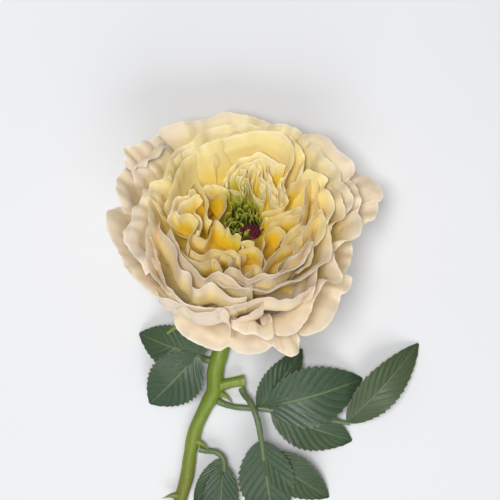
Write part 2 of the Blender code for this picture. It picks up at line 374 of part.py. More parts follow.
LEAFLET_ROWS = 9
LEAFLET_TIP_HALF = 0.7
TOOTH = 0.1  # depth of a tooth of the margin, as a share of half the width
LEAFLET_FOLD = 0.16  # how far the margins rise over the rib, as a share of half the width


def to_world(points):
    """Points of the bloom's frame, in the world, in millimetres."""
    x, y, h = points[..., 0], points[..., 1], points[..., 2]
    forward = y * math.sin(LIFT) + h * math.cos(LIFT)
    up = h * math.sin(LIFT) - y * math.cos(LIFT)
    return np.stack([x, forward, up], -1) + np.array(SEAT)


def on_surface(route):
    """Places measured from the point below the seat, in the world; further columns stay."""
    route = np.array(route, float)
    route[..., :2] += np.array(SEAT[:2])
    return route


def laid_down(world):
    """A blade where it comes to lie: what would sink into the surface lies along it."""
    world = world.copy()
    world[..., 2] = np.maximum(world[..., 2], FLOOR)
    return world


def upright(x=0.0, y=0.0):
    """The matrix that stands a turned piece in the bloom, on the line through (x, y)."""
    s, c = math.sin(LIFT), math.cos(LIFT)
    turn = Matrix(((1, 0, 0), (0, s, c), (0, -c, s))).to_4x4()
    return Matrix.Translation(Vector(to_world(np.array([x, y, 0.0]))) * MM) @ turn


def through(points, count):
    """Count points along a smooth curve that runs through the given ones."""
    p = np.array(points, float)
    step = np.linalg.norm(np.diff(p, axis=0), axis=1) ** 0.5
    knot = np.concatenate([[0], np.cumsum(step)]) / step.sum()
    slope = np.empty_like(p)
    slope[1:-1] = (p[2:] - p[:-2]) / (knot[2:] - knot[:-2])[:, None]
    slope[0] = (p[1] - p[0]) / (knot[1] - knot[0])
    slope[-1] = (p[-1] - p[-2]) / (knot[-1] - knot[-2])
    t = np.linspace(0, 1, count)
    i = np.clip(np.searchsorted(knot, t, side="right") - 1, 0, len(p) - 2)
    width = (knot[i + 1] - knot[i])[:, None]
    s = (t - knot[i])[:, None] / width
    return (
        (2 * s**3 - 3 * s**2 + 1) * p[i] + (s**3 - 2 * s**2 + s) * width * slope[i]
        + (3 * s**2 - 2 * s**3) * p[i + 1] + (s**3 - s**2) * width * slope[i + 1])


def unit(vectors):
    return vectors / (np.linalg.norm(vectors, axis=-1, keepdims=True) + 1e-9)


def petal_points(name, across, along):
    """A grid of points over one petal, from its root to its rim, in the bloom's frame."""
    kind, lean, (turn_over, margin), ruffle, rim_points = PETALS[name]
    root_radius, root_height, rise, _ = ROOTS[kind]
    rise, turn_over = math.radians(rise), math.radians(turn_over)
    first_lean, last_lean = lean if isinstance(lean, tuple) else (lean, lean)
    lean = np.radians(np.linspace(first_lean, last_lean, across + 1))[:, None]
    rim = through(rim_points, across + 1)
    middle = rim.mean(axis=0)
    root = np.zeros_like(rim)
    root[:, :2] = unit(middle[:2]) * root_radius + (rim[:, :2] - middle[:2]) * ROOT_SPREAD
    root[:, 2] = root_height
    outward = np.zeros_like(rim)
    outward[:, :2] = unit(rim[:, :2] - root[:, :2] / 2)
    axis = np.array([0, 0, 1.0])
    end = lean + turn_over
    over = (np.cos(lean) - np.cos(end)) * outward + (np.sin(end) - np.sin(lean)) * axis
    crest = rim - margin / turn_over * over
    reach = np.linalg.norm(crest - root, axis=1, keepdims=True)
    knee = root + KNEE * reach * (outward * math.cos(rise) + axis * math.sin(rise))
    neck = crest - NECK * reach * (outward * np.sin(lean) + axis * np.cos(lean))
    t = np.linspace(0, 1, along)[:, None, None]
    points = (1 - t) ** 3 * root + 3 * (1 - t) ** 2 * t * knee + 3 * (1 - t) * t**2 * neck + t**3 * crest
    points = np.concatenate([points, rim[None]])
    run = np.gradient(points, axis=0)
    normal = unit(np.cross(np.gradient(points, axis=1), run))
    t = np.linspace(0, 1, along + 1)[:, None, None]
    u = np.linspace(-1, 1, across + 1)[None, :, None]
    chance = random.Random(name)
    waves = sum(
        np.sin(math.pi * u * chance.uniform(1.5, 3.5) + chance.uniform(0, math.tau)) for _ in range(2))
    return points + normal * waves * ruffle * t**3


def new_collection(name):
    made = bpy.data.collections.new(name)
    bpy.context.scene.collection.children.link(made)
    return made


def new_object(name, bm, home):
    """An object of what the bmesh holds."""
    mesh = bpy.data.meshes.new(name)
    bm.to_mesh(mesh)
    bm.free()
    made = bpy.data.objects.new(name, mesh)
    home.objects.link(made)
    return made


def blade(name, points, home):
    """A sheet through a grid of world points in millimetres, as a solid blade."""
    rows, columns = points.shape[:2]
    bm = bmesh.new()
    bmesh.ops.create_grid(bm, x_segments=columns - 1, y_segments=rows - 1, size=1.0)
    for vertex in bm.verts:
        column = round((vertex.co.x + 1) / 2 * (columns - 1))
        row = round((vertex.co.y + 1) / 2 * (rows - 1))
        vertex.co = Vector(points[row, column]) * MM
    bmesh.ops.triangulate(bm, faces=bm.faces)
    made = new_object(name, bm, home)
    solidify = made.modifiers.new("thickness", "SOLIDIFY")
    solidify.thickness = BLADE * MM
    solidify.offset = 0
    return made


def turned(name, profile, home, centre=(0.0, 0.0), steps=16):
    """A turned solid from its profile (radius, height), standing in the bloom."""
    bm = bmesh.new()
    line = [bm.verts.new((radius * MM, 0, height * MM)) for radius, height in profile]
    for one, two in zip(line, line[1:]):
        bm.edges.new((one, two))
    made = new_object(name, bm, home)
    made.matrix_world = upright(*centre)
    screw = made.modifiers.new("turned", "SCREW")
    screw.axis = "Z"
    screw.steps = steps
    screw.render_steps = steps
    screw.use_merge_vertices = True
    screw.merge_threshold = 0.05 * MM
    applied(made)
    return made


def room_guide(name, home, shrink=0.0):
    """A guide solid through the level ovals of the heart's room."""
    bm = bmesh.new()
    loops = []
    for height, half_x, half_y, forward in ROOM:
        loop = []
        for step in range(ROOM_SIDES):
            a = math.tau * step / ROOM_SIDES
            point = [(half_x - shrink) * math.cos(a), (half_y - shrink) * math.sin(a) - forward, height]
            loop.append(bm.verts.new(Vector(to_world(np.array(point))) * MM))
        loops.append(loop)
    for lower, upper in zip(loops, loops[1:]):
        for step in range(ROOM_SIDES):
            after = (step + 1) % ROOM_SIDES
            bm.faces.new((lower[step], lower[after], upper[after], upper[step]))
    bm.faces.new(loops[0][::-1])
    bm.faces.new(loops[-1])
    bmesh.ops.recalc_face_normals(bm, faces=bm.faces)
    return as_guide(new_object(name, bm, home))


def as_guide(made):
    made.hide_render = True
    made.display_type = "WIRE"
    return made


def tube(name, route, home, points, roundness=1):
    """A round stalk along a smooth route of places and radii."""
    line = bpy.data.curves.new(name, "CURVE")
    line.dimensions = "3D"
    line.bevel_depth = MM
    line.bevel_resolution = roundness
    line.use_fill_caps = True
    spline = line.splines.new("POLY")
    spline.points.add(points - 1)
    for point, place in zip(spline.points, on_surface(through(route, points))):
        point.co = (*(place[:3] * MM), 1)
        point.radius = place[3]
    guide = bpy.data.objects.new(name + " line", line)
    home.objects.link(guide)
    bpy.context.view_layer.update()
    graph = bpy.context.evaluated_depsgraph_get()
    mesh = bpy.data.meshes.new_from_object(guide.evaluated_get(graph))
    bm = bmesh.new()
    bm.from_mesh(mesh)
    bpy.data.meshes.remove(mesh)
    bmesh.ops.remove_doubles(bm, verts=bm.verts, dist=0.01 * MM)
    bmesh.ops.recalc_face_normals(bm, faces=bm.faces)
    bpy.data.objects.remove(guide)
    bpy.data.curves.remove(line)
    return new_object(name, bm, home)


def cone(name, foot, tip, radius, home):
    """A pointed prickle from its foot to its tip."""
    foot, tip = Vector(foot) * MM, Vector(tip) * MM
    turn = (tip - foot).to_track_quat("Z", "Y").to_matrix().to_4x4()
    bm = bmesh.new()
    bmesh.ops.create_cone(
        bm, cap_ends=True, segments=PRICKLE_SIDES, radius1=radius * MM, radius2=PRICKLE_TIP * MM,
        depth=(tip - foot).length, matrix=Matrix.Translation((foot + tip) / 2) @ turn)
    return new_object(name, bm, home)


def applied(part):
    """Gives an object the mesh that its modifiers make of it, in the world's frame."""
    bpy.context.view_layer.update()
    graph = bpy.context.evaluated_depsgraph_get()
    mesh = bpy.data.meshes.new_from_object(part.evaluated_get(graph))
    mesh.transform(part.matrix_world)
    part.modifiers.clear()
    part.data = mesh
    part.matrix_world = Matrix.Identity(4)


def keep_one_body(part):
    """Keeps the largest connected shell, so that a loose scrap or a sealed hollow goes."""
    bm = bmesh.new()
    bm.from_mesh(part.data)
    bmesh.ops.triangulate(bm, faces=bm.faces)
    unseen, largest = set(bm.verts), set()
    while unseen:
        front = [unseen.pop()]
        shell = set(front)
        while front:
            vertex = front.pop()
            for edge in vertex.link_edges:
                other = edge.other_vert(vertex)
                if other in unseen:
                    unseen.discard(other)
                    shell.add(other)
                    front.append(other)
        largest = max(largest, shell, key=len)
    bmesh.ops.delete(bm, geom=[v for v in bm.verts if v not in largest], context="VERTS")
    bm.to_mesh(part.data)
    bm.free()


def fuse(core, repeats):
    """Joins a collection of repeats to the core that they grow from."""
    union = core.modifiers.new("grown together", "BOOLEAN")
    union.operand_type = "COLLECTION"
    union.collection = repeats
    union.operation = "UNION"
    union.solver = "MANIFOLD"
    applied(core)
    for repeat in list(repeats.objects):
        bpy.data.objects.remove(repeat)
    bpy.data.collections.remove(repeats)
    keep_one_body(core)


def trim(part, guide, operation="DIFFERENCE"):
    """Cuts a piece with a guide solid, and drops what comes loose."""
    cut = part.modifiers.new("clearance", "BOOLEAN")
    cut.object = guide
    cut.operation = operation
    cut.solver = "MANIFOLD"
    applied(part)
    keep_one_body(part)


def finish(part, look):
    """One plain material in the piece's own colour, and smooth shading."""
    colour, roughness = look
    material = bpy.data.materials.new(part.name)
    material.use_nodes = True
    surface = material.node_tree.nodes["Principled BSDF"]
    surface.inputs["Base Color"].default_value = (*colour, 1)
    surface.inputs["Roughness"].default_value = roughness
    surface.inputs["Metallic"].default_value = 0.0
    part.data.materials.clear()
    part.data.materials.append(material)
    part.data.shade_smooth()
    part.data.set_sharp_from_angle(angle=math.radians(40))


def petals(name, kinds, core_profile, look, home):
    """The petals of these kinds, grown together on their hidden core."""
    repeats = new_collection(name + " repeats")
    for petal, (kind, _, _, _, rim_points) in PETALS.items():
        if kind in kinds:
            length = np.linalg.norm(np.diff(rim_points, axis=0), axis=1).sum()
            across = min(MOST_ACROSS, max(LEAST_ACROSS, round(length / COLUMN)))
            points = petal_points(petal, across, ROOTS[kind][3])
            blade(petal, laid_down(to_world(points)), repeats)
    core = turned(name, core_profile, home)
    fuse(core, repeats)
    finish(core, look)
    return core


def petaloids(home):
    """The green crumpled petals round the eye, on their button."""
    repeats = new_collection("petaloid repeats")
    chance = random.Random("petaloids")
    foot_radius, foot_height = PETALOID_FOOT
    for number in range(PETALOID_COUNT):
        a = math.tau * (number + chance.uniform(-0.25, 0.25)) / PETALOID_COUNT
        out = np.array([math.cos(a), math.sin(a), 0])
        reach = PETALOID_REACH + PETALOID_SLOPE[0] * math.sin(a)
        height = PETALOID_HEIGHT + PETALOID_SLOPE[1] * math.sin(a) + chance.uniform(-1, 1)
        rim = []
        for place, drop in ((-1, 2), (-1 / 3, 0), (1 / 3, 0), (1, 2)):
            b = a + math.radians(PETALOID_HALF_ANGLE) * place
            r = reach - chance.uniform(0, 2.2)
            rim.append((r * math.cos(b), r * math.sin(b), height - drop + chance.uniform(-0.5, 0.5)))
        rim = np.array(rim)
        foot = out * foot_radius + (rim - rim.mean(axis=0)) * 0.4
        foot[:, 2] = foot_height
        t = np.linspace(0, 1, 3)[:, None, None]
        points = foot * (1 - t) + rim * t + out * 0.8 * np.sin(math.pi * t)
        points[..., :2] += np.array(EYE)
        blade(f"petaloid {number}", to_world(points), repeats)
    button = turned("petaloids", BUTTON, home, EYE, steps=14)
    fuse(button, repeats)
    finish(button, LIME)
    return button


def stigmas(home):
    """The knot of stigmas: round heads in a spiral on their core."""
    repeats = new_collection("stigma repeats")
    chance = random.Random("stigmas")
    for number in range(STIGMA_COUNT):
        a = STIGMA_TURN * number
        r = 0.62 * KNOT_RADIUS * math.sqrt(number / STIGMA_COUNT)
        height = STIGMA_HEIGHT + chance.uniform(-0.4, 0.6)
        middle = np.array([KNOT[0] + r * math.cos(a), KNOT[1] + r * math.sin(a), height])
        bm = bmesh.new()
        bmesh.ops.create_icosphere(bm, subdivisions=1, radius=STIGMA_RADIUS * MM)
        bmesh.ops.translate(bm, verts=bm.verts, vec=Vector(to_world(middle)) * MM)
        new_object(f"stigma {number}", bm, repeats)
    knot = turned("stigmas", KNOT_CORE, home, KNOT, steps=12)
    fuse(knot, repeats)
    finish(knot, BURGUNDY)
    return knot


def calyx(home):
    """The hip under the bloom, with its sepals."""
    repeats = new_collection("calyx repeats")
    foot_radius, foot_height = SEPAL_FOOT
    for azimuth, length in SEPALS:
        a = math.radians(azimuth)
        out = np.array([math.cos(a), math.sin(a), 0])
        side = np.array([-math.sin(a), math.cos(a), 0])
        grid = np.zeros((SEPAL_ROWS + 1, 3, 3))
        for row, t in enumerate(np.linspace(0, 1, SEPAL_ROWS + 1)):
            half = max(SEPAL_TIP_HALF, SEPAL_HALF * (1 - t) ** 0.6)
            rib = out * (foot_radius + length * t)
            rib[2] = foot_height - SEPAL_SAG * math.sin(math.pi * t * 0.8) - SEPAL_FALL * t
            for column, place in enumerate((-1, 0, 1)):
                grid[row, column] = rib + side * place * half
                grid[row, column, 2] += SEPAL_FOLD * half * abs(place)
        blade(f"sepal {azimuth}", laid_down(to_world(grid)), repeats)
    hip = turned("calyx", HIP_PROFILE, home, steps=14)
    fuse(hip, repeats)
    finish(hip, SEPAL_GREEN)


def stem(home):
    """The cut stem with its side stub and its prickles."""
    repeats = new_collection("stem repeats")
    tube("stub", STUB_ROUTE, repeats, STUB_POINTS)
    places = on_surface(through(STEM_ROUTE, 101))
    for number, (way, turn, length, foot_radius) in enumerate(PRICKLES):
        step = round(way * 100)
        here, radius = places[step][:3], places[step][3]
        run = unit(places[step + 1][:3] - here)
        side = unit(np.cross(run, [0, 0, 1.0]))
        up = np.cross(side, run)
        out = side * math.cos(math.radians(turn)) + up * abs(math.sin(math.radians(turn)))
        tip = here + out * (radius + length) + run * length * PRICKLE_HOOK
        cone(f"prickle {number}", here + out * radius * 0.5, tip, foot_radius, repeats)
    made = tube("stem", STEM_ROUTE, home, STEM_POINTS, roundness=2)
    fuse(made, repeats)
    finish(made, STEM_GREEN)


def leaflet_points(base, tip, half, arch):
    """A grid over one leaflet: three columns, its margin toothed, its rib arched."""
    base, tip = np.array(base, float), np.array(tip, float)
    run = tip - base
    side = unit(np.array([-run[1], run[0], 0.0]))
    along = np.linspace(0, 1, LEAFLET_ROWS + 1)
    outline = np.sin(math.pi * along**0.85) ** 0.75
    teeth = 1 - TOOTH * (np.arange(LEAFLET_ROWS + 1) % 2)
    width = np.maximum(half * outline * teeth, LEAFLET_TIP_HALF)
    rib = base + along[:, None] * run
    rib[:, 2] += arch * np.sin(math.pi * along)
    grid = np.stack([rib - width[:, None] * side, rib, rib + width[:, None] * side], axis=1)
    grid[:, ::2, 2] += LEAFLET_FOLD * width[:, None]
    return on_surface(grid)


def leaf(name, route, leaflets, home):
    """A compound leaf: its leaflets grown on its stalk."""
    repeats = new_collection(name + " repeats")
    for number, (base, tip, half, arch) in enumerate(leaflets):
        points = laid_down(leaflet_points(base, tip, half, arch))
        blade(f"{name} leaflet {number}", points, repeats)
    stalk = tube(name, route, home, STALK_POINTS)
    fuse(stalk, repeats)
    finish(stalk, LEAF_GREEN)


def main():
    for old in list(bpy.data.objects):
        bpy.data.objects.remove(old)
    rose = new_collection("peony_form_rose")
    guides = new_collection("guides")
    outer = petals("petals_outer", ("guard", "cup"), OUTER_CORE, CREAM, rose)
    trim(outer, room_guide("heart room", guides))
    inner = petals("petals_inner", ("heart", "fore"), INNER_CORE, YELLOW, rose)
    trim(inner, room_guide("heart shape", guides, GAP), "INTERSECT")
    trim(inner, as_guide(turned("eye room", EYE_ROOM, guides, EYE, steps=14)))
    eye = petaloids(rose)
    eye_shape = [(max(0, radius - GAP), height) for radius, height in EYE_ROOM]
    trim(eye, as_guide(turned("eye shape", eye_shape, guides, EYE, steps=14)), "INTERSECT")
    knot_room = [(0, 30), (KNOT_RADIUS + GAP, 30), (KNOT_RADIUS + GAP, KNOT_SEAT), (0, KNOT_SEAT)]
    trim(eye, as_guide(turned("knot room", knot_room, guides, KNOT, steps=14)))
    stigmas(rose)
    calyx(rose)
    stem(rose)
    for name, (route, leaflets) in LEAVES.items():
        leaf(name, route, leaflets, rose)


main()
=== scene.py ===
# %% [markdown]
# # A peony-form garden rose, cut and laid on a table
#
# The real flower is one head of about a hundred thin petals on a stem with toothed
# leaves. Its solids are already packed: they say where each layer of petals, each leaf
# and the stem lie. This lesson dresses them. Every petal is made again as a fine, thin,
# waved sheet from the same rim curves, and every surface gets a material of its own.

# %% Load the frame
import math
import random

import bpy
import numpy as np
from mathutils import Matrix, Vector


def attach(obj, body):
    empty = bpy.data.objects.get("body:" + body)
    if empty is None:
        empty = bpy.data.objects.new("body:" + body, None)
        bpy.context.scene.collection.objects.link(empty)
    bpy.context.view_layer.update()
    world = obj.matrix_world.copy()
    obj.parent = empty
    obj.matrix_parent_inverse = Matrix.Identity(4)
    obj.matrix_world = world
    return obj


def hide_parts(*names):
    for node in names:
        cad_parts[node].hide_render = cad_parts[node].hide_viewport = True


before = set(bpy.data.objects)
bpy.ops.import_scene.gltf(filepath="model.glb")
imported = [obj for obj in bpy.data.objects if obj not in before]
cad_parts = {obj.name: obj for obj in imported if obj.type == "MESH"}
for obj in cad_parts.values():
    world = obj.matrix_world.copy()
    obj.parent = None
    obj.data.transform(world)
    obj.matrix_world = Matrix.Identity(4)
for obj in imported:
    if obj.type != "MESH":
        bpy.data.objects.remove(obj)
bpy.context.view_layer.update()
bpy.ops.object.select_all(action="DESELECT")
print("solids:", ", ".join(sorted(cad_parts)))

# %% [markdown]
# ## The bloom's own frame
#
# The flower was shaped looking straight down its axis, and the axis leans: the cut stem
# lies on the table and its neck lifts the head. So the petals are worked out in
# millimetres in the bloom's own frame (x to the right, y away from the stem, h along
# the axis, from the place where the petals leave the stem), and one function lays them
# down. Turning each object instead would leave turned objects behind.

# %% Sizes, and the way from the bloom to the table
MM = 0.001
AXIS_LIFT = math.radians(45)
SEAT = np.array([-9.95, 41.82, 24.5])
FLOOR = 0.25  # the middle of a blade that lies on the table, in millimetres


def to_world(points):
    """Points of the bloom's frame, in the world, in millimetres."""
    x, y, h = points[..., 0], points[..., 1], points[..., 2]
    forward = y * math.sin(AXIS_LIFT) + h * math.cos(AXIS_LIFT)
    up = h * math.sin(AXIS_LIFT) - y * math.cos(AXIS_LIFT)
    return np.stack([x, forward, up], -1) + SEAT


def on_table(route):
    """Places measured from the point below the seat, in the world; further columns stay."""
    route = np.array(route, float)
    route[..., :2] += SEAT[:2]
    return route


def laid_down(world):
    """A blade where it comes to lie: what would sink into the table lies along it."""
    world = world.copy()
    world[..., 2] = np.maximum(world[..., 2], FLOOR)
    return world


# %% [markdown]
# ## Camera and light
#
# The photographer looked down on a flower that faced the camera at a slant. The flower
# here lies down, so the camera looks down on the table instead, at the same angle to the
# bloom's axis. Half a metre is far enough to keep the petals' proportions.

# %% Camera
AXIS_TO_CAMERA = math.radians(39)
DISTANCE = 0.52
PICTURE_WIDTH = 0.1873  # of the plane through the seat, in metres
SENSOR = 36.0
ASIDE, ABOVE = 0.0026, 0.00075  # the middle of the picture from the seat, in metres

tilt = AXIS_LIFT + AXIS_TO_CAMERA
towards_camera = Vector((0, math.cos(tilt), math.sin(tilt)))
picture_up = Vector((0, math.sin(tilt), -math.cos(tilt)))
picture_right = Vector((1, 0, 0))
middle = Vector(SEAT) * MM + picture_right * ASIDE + picture_up * ABOVE
turned_to_flower = Matrix((picture_right, picture_up, towards_camera)).transposed()

camera_data = bpy.data.cameras.new("camera")
camera_data.sensor_width = SENSOR
camera_data.lens = SENSOR * DISTANCE / PICTURE_WIDTH
camera_data.clip_start = 0.01
camera = bpy.data.objects.new("camera", camera_data)
bpy.context.scene.collection.objects.link(camera)
camera.matrix_world = Matrix.Translation(middle + towards_camera * DISTANCE) @ turned_to_flower.to_4x4()
bpy.context.scene.camera = camera
print(f"camera {camera_data.lens:.0f} mm, {math.degrees(tilt):.0f} degrees above the table")

# %% Light, table and surroundings
TABLE_SIZE = 6.0
KEY = {"place": (-0.14, 0.16, 0.95), "size": 0.3, "watts": 6.4}
FILL = {"place": (0.1, -0.72, 0.74), "size": 0.7, "watts": 4.8}
SKY = (0.92, 0.91, 0.90)
SKY_STRENGTH = 0.30
PALE = (0.70, 0.71, 0.73)


def soft_light(name, place, size, watts):
    """A square soft box that looks at the flower."""
    light = bpy.data.lights.new(name, "AREA")
    light.size = size
    light.energy = watts
    lamp = bpy.data.objects.new(name, light)
    bpy.context.scene.collection.objects.link(lamp)
    lamp.location = place
    aim = Vector((0, 0, 0.03)) - lamp.location
    lamp.rotation_euler = aim.to_track_quat("-Z", "Y").to_euler()


soft_light("key light", **KEY)
soft_light("fill light", **FILL)
world = bpy.data.worlds.new("studio")
world.use_nodes = True
world.node_tree.nodes["Background"].inputs["Color"].default_value = (*SKY, 1)
world.node_tree.nodes["Background"].inputs["Strength"].default_value = SKY_STRENGTH
bpy.context.scene.world = world
bpy.context.scene.view_settings.view_transform = "Standard"

bpy.ops.mesh.primitive_plane_add(size=TABLE_SIZE)
table = bpy.context.object
table.name = "table"
print("table", TABLE_SIZE, "m across")

# %% [markdown]
# ## Writing shaders as sums
#
# A material's pattern is arithmetic on sockets. Dragging Math nodes about hides it, so a
# small class lets the sum be written down: socket * 2 + other makes the nodes. Colours
# go through Mix, because a Math node would turn them grey.

# %% Sockets that can be added and multiplied
class Socket:
    """One output of a node, with the arithmetic that the materials use."""

    def __init__(self, look, output):
        self.look = look
        self.output = output

    def math(self, operation, *values):
        return self.look.node("ShaderNodeMath", {"operation": operation}, dict(enumerate(values)))

    def __add__(self, other):
        return self.math("ADD", self, other)

    def __sub__(self, other):
        return self.math("SUBTRACT", self, other)

    def __rsub__(self, other):
        return self.math("SUBTRACT", other, self)

    def __mul__(self, other):
        return self.math("MULTIPLY", self, other)

    def __pow__(self, other):
        return self.math("POWER", self, other)

    __radd__ = __add__
    __rmul__ = __mul__

    def unlike(self, other):
        """The distance between two values."""
        return self.math("ABSOLUTE", self - other)

    def step(self, low, high):
        """0 below low, 1 above high, and a soft step between; high may be the lower one."""
        settings = {"interpolation_type": "SMOOTHSTEP"}
        return self.look.node("ShaderNodeMapRange", settings, {0: self, 1: low, 2: high})

    def repeat(self):
        """The part after the point: a pattern that starts again at each whole number."""
        return self.math("FRACT", self)


class Look:
    """A material under construction, round one Principled surface."""

    def __init__(self, name, constants):
        self.material = bpy.data.materials.new(name)
        self.material.use_nodes = True
        self.tree = self.material.node_tree
        self.surface = self.tree.nodes["Principled BSDF"]
        for socket, value in constants.items():
            self.surface.inputs[socket].default_value = value

    def node(self, kind, settings=None, sockets=None, output=0):
        """Adds a node, with its settings first, and then its sockets' values or links."""
        made = self.tree.nodes.new(kind)
        for name, value in (settings or {}).items():
            setattr(made, name, value)
        for name, value in (sockets or {}).items():
            if isinstance(value, Socket):
                self.tree.links.new(value.output, made.inputs[name])
            else:
                made.inputs[name].default_value = value
        return Socket(self, made.outputs[output])

    def place(self):
        """Where the point is on the object."""
        return self.node("ShaderNodeTexCoord", output="Object")

    def attribute(self, name, output="Vector"):
        """A value that the piece's mesh carries."""
        return self.node("ShaderNodeAttribute", {"attribute_name": name}, output=output)

    def split(self, vector):
        """The three numbers of a vector."""
        parts = self.node("ShaderNodeSeparateXYZ", sockets={0: vector}).output.node.outputs
        return [Socket(self, part) for part in parts]

    def stretch(self, vector, scale):
        """A vector scaled by a number for each direction."""
        return self.node("ShaderNodeVectorMath", {"operation": "MULTIPLY"}, {0: vector, 1: scale})

    def noise(self, vector, scale, detail=2.0, roughness=0.5):
        sockets = {"Vector": vector, "Scale": scale, "Detail": detail, "Roughness": roughness}
        return self.node("ShaderNodeTexNoise", sockets=sockets)

    def mix(self, factor, one, two):
        """Two colours, blended."""
        sockets = {0: factor, 6: one, 7: two}
        for key in (6, 7):
            if isinstance(sockets[key], tuple):
                sockets[key] = (*sockets[key], 1)
        settings = {"data_type": "RGBA", "clamp_factor": True}
        return self.node("ShaderNodeMix", settings, sockets, output=2)

    def bump(self, height, depth_mm, strength=1.0):
        """The surface's normal over a relief this many millimetres deep."""
        sockets = {"Height": height, "Distance": depth_mm * MM, "Strength": strength}
        return self.node("ShaderNodeBump", sockets=sockets)

    def finish(self, links):
        """Links what varies over the surface, and gives the material."""
        for socket, value in links.items():
            self.tree.links.new(value.output, self.surface.inputs[socket])
        return self.material


# %% The table's finish
look = Look("pale table", {"Roughness": 0.7})
grain = look.noise(look.place(), 14.0, 3.0)
table_colour = look.mix(grain, PALE, tuple(1.04 * c for c in PALE))
table.data.materials.append(look.finish({"Base Color": table_colour}))
print("table finished")

# %% [markdown]
# ## Curves through listed points
#
# A petal is known by its rim: where the edge runs, how it scallops and folds. Each rim
# is a short list of points, read off one by one, and a smooth curve is run through them.
# The knots are spaced by the square root of the distance between the points, which
# keeps a tight fold from looping.

# %% A smooth curve through points
def through(points, count):
    """Count points along a smooth curve that runs through the given ones."""
    p = np.array(points, float)
    step = np.linalg.norm(np.diff(p, axis=0), axis=1) ** 0.5
    knot = np.concatenate([[0], np.cumsum(step)]) / step.sum()
    slope = np.empty_like(p)
    slope[1:-1] = (p[2:] - p[:-2]) / (knot[2:] - knot[:-2])[:, None]
    slope[0] = (p[1] - p[0]) / (knot[1] - knot[0])
    slope[-1] = (p[-1] - p[-2]) / (knot[-1] - knot[-2])
    t = np.linspace(0, 1, count)
    i = np.clip(np.searchsorted(knot, t, side="right") - 1, 0, len(p) - 2)
    width = (knot[i + 1] - knot[i])[:, None]
    s = (t - knot[i])[:, None] / width
    return (
        (2 * s**3 - 3 * s**2 + 1) * p[i] + (s**3 - 2 * s**2 + s) * width * slope[i]
        + (3 * s**2 - 2 * s**3) * p[i + 1] + (s**3 - s**2) * width * slope[i + 1])


def unit(vectors):
    return vectors / (np.linalg.norm(vectors, axis=-1, keepdims=True) + 1e-9)


def smooth_step(values, low, high):
    """0 at low, 1 at high, and a soft step between."""
    s = np.clip((values - low) / (high - low), 0, 1)
    return s * s * (3 - 2 * s)

# %% [markdown]
# ## The petals' rims
#
# The flower has a few broad guard petals lying back at the bottom, three or four rounds
# of cupped cream petals, and a heart of short folded petals that are quartered round a
# green eye. Each line gives a petal's kind, how far its rim leans from the bloom's axis,
# how deep the rim ruffles, and the rim's points. They are the flower's character, so
# they are listed and not drawn at random.

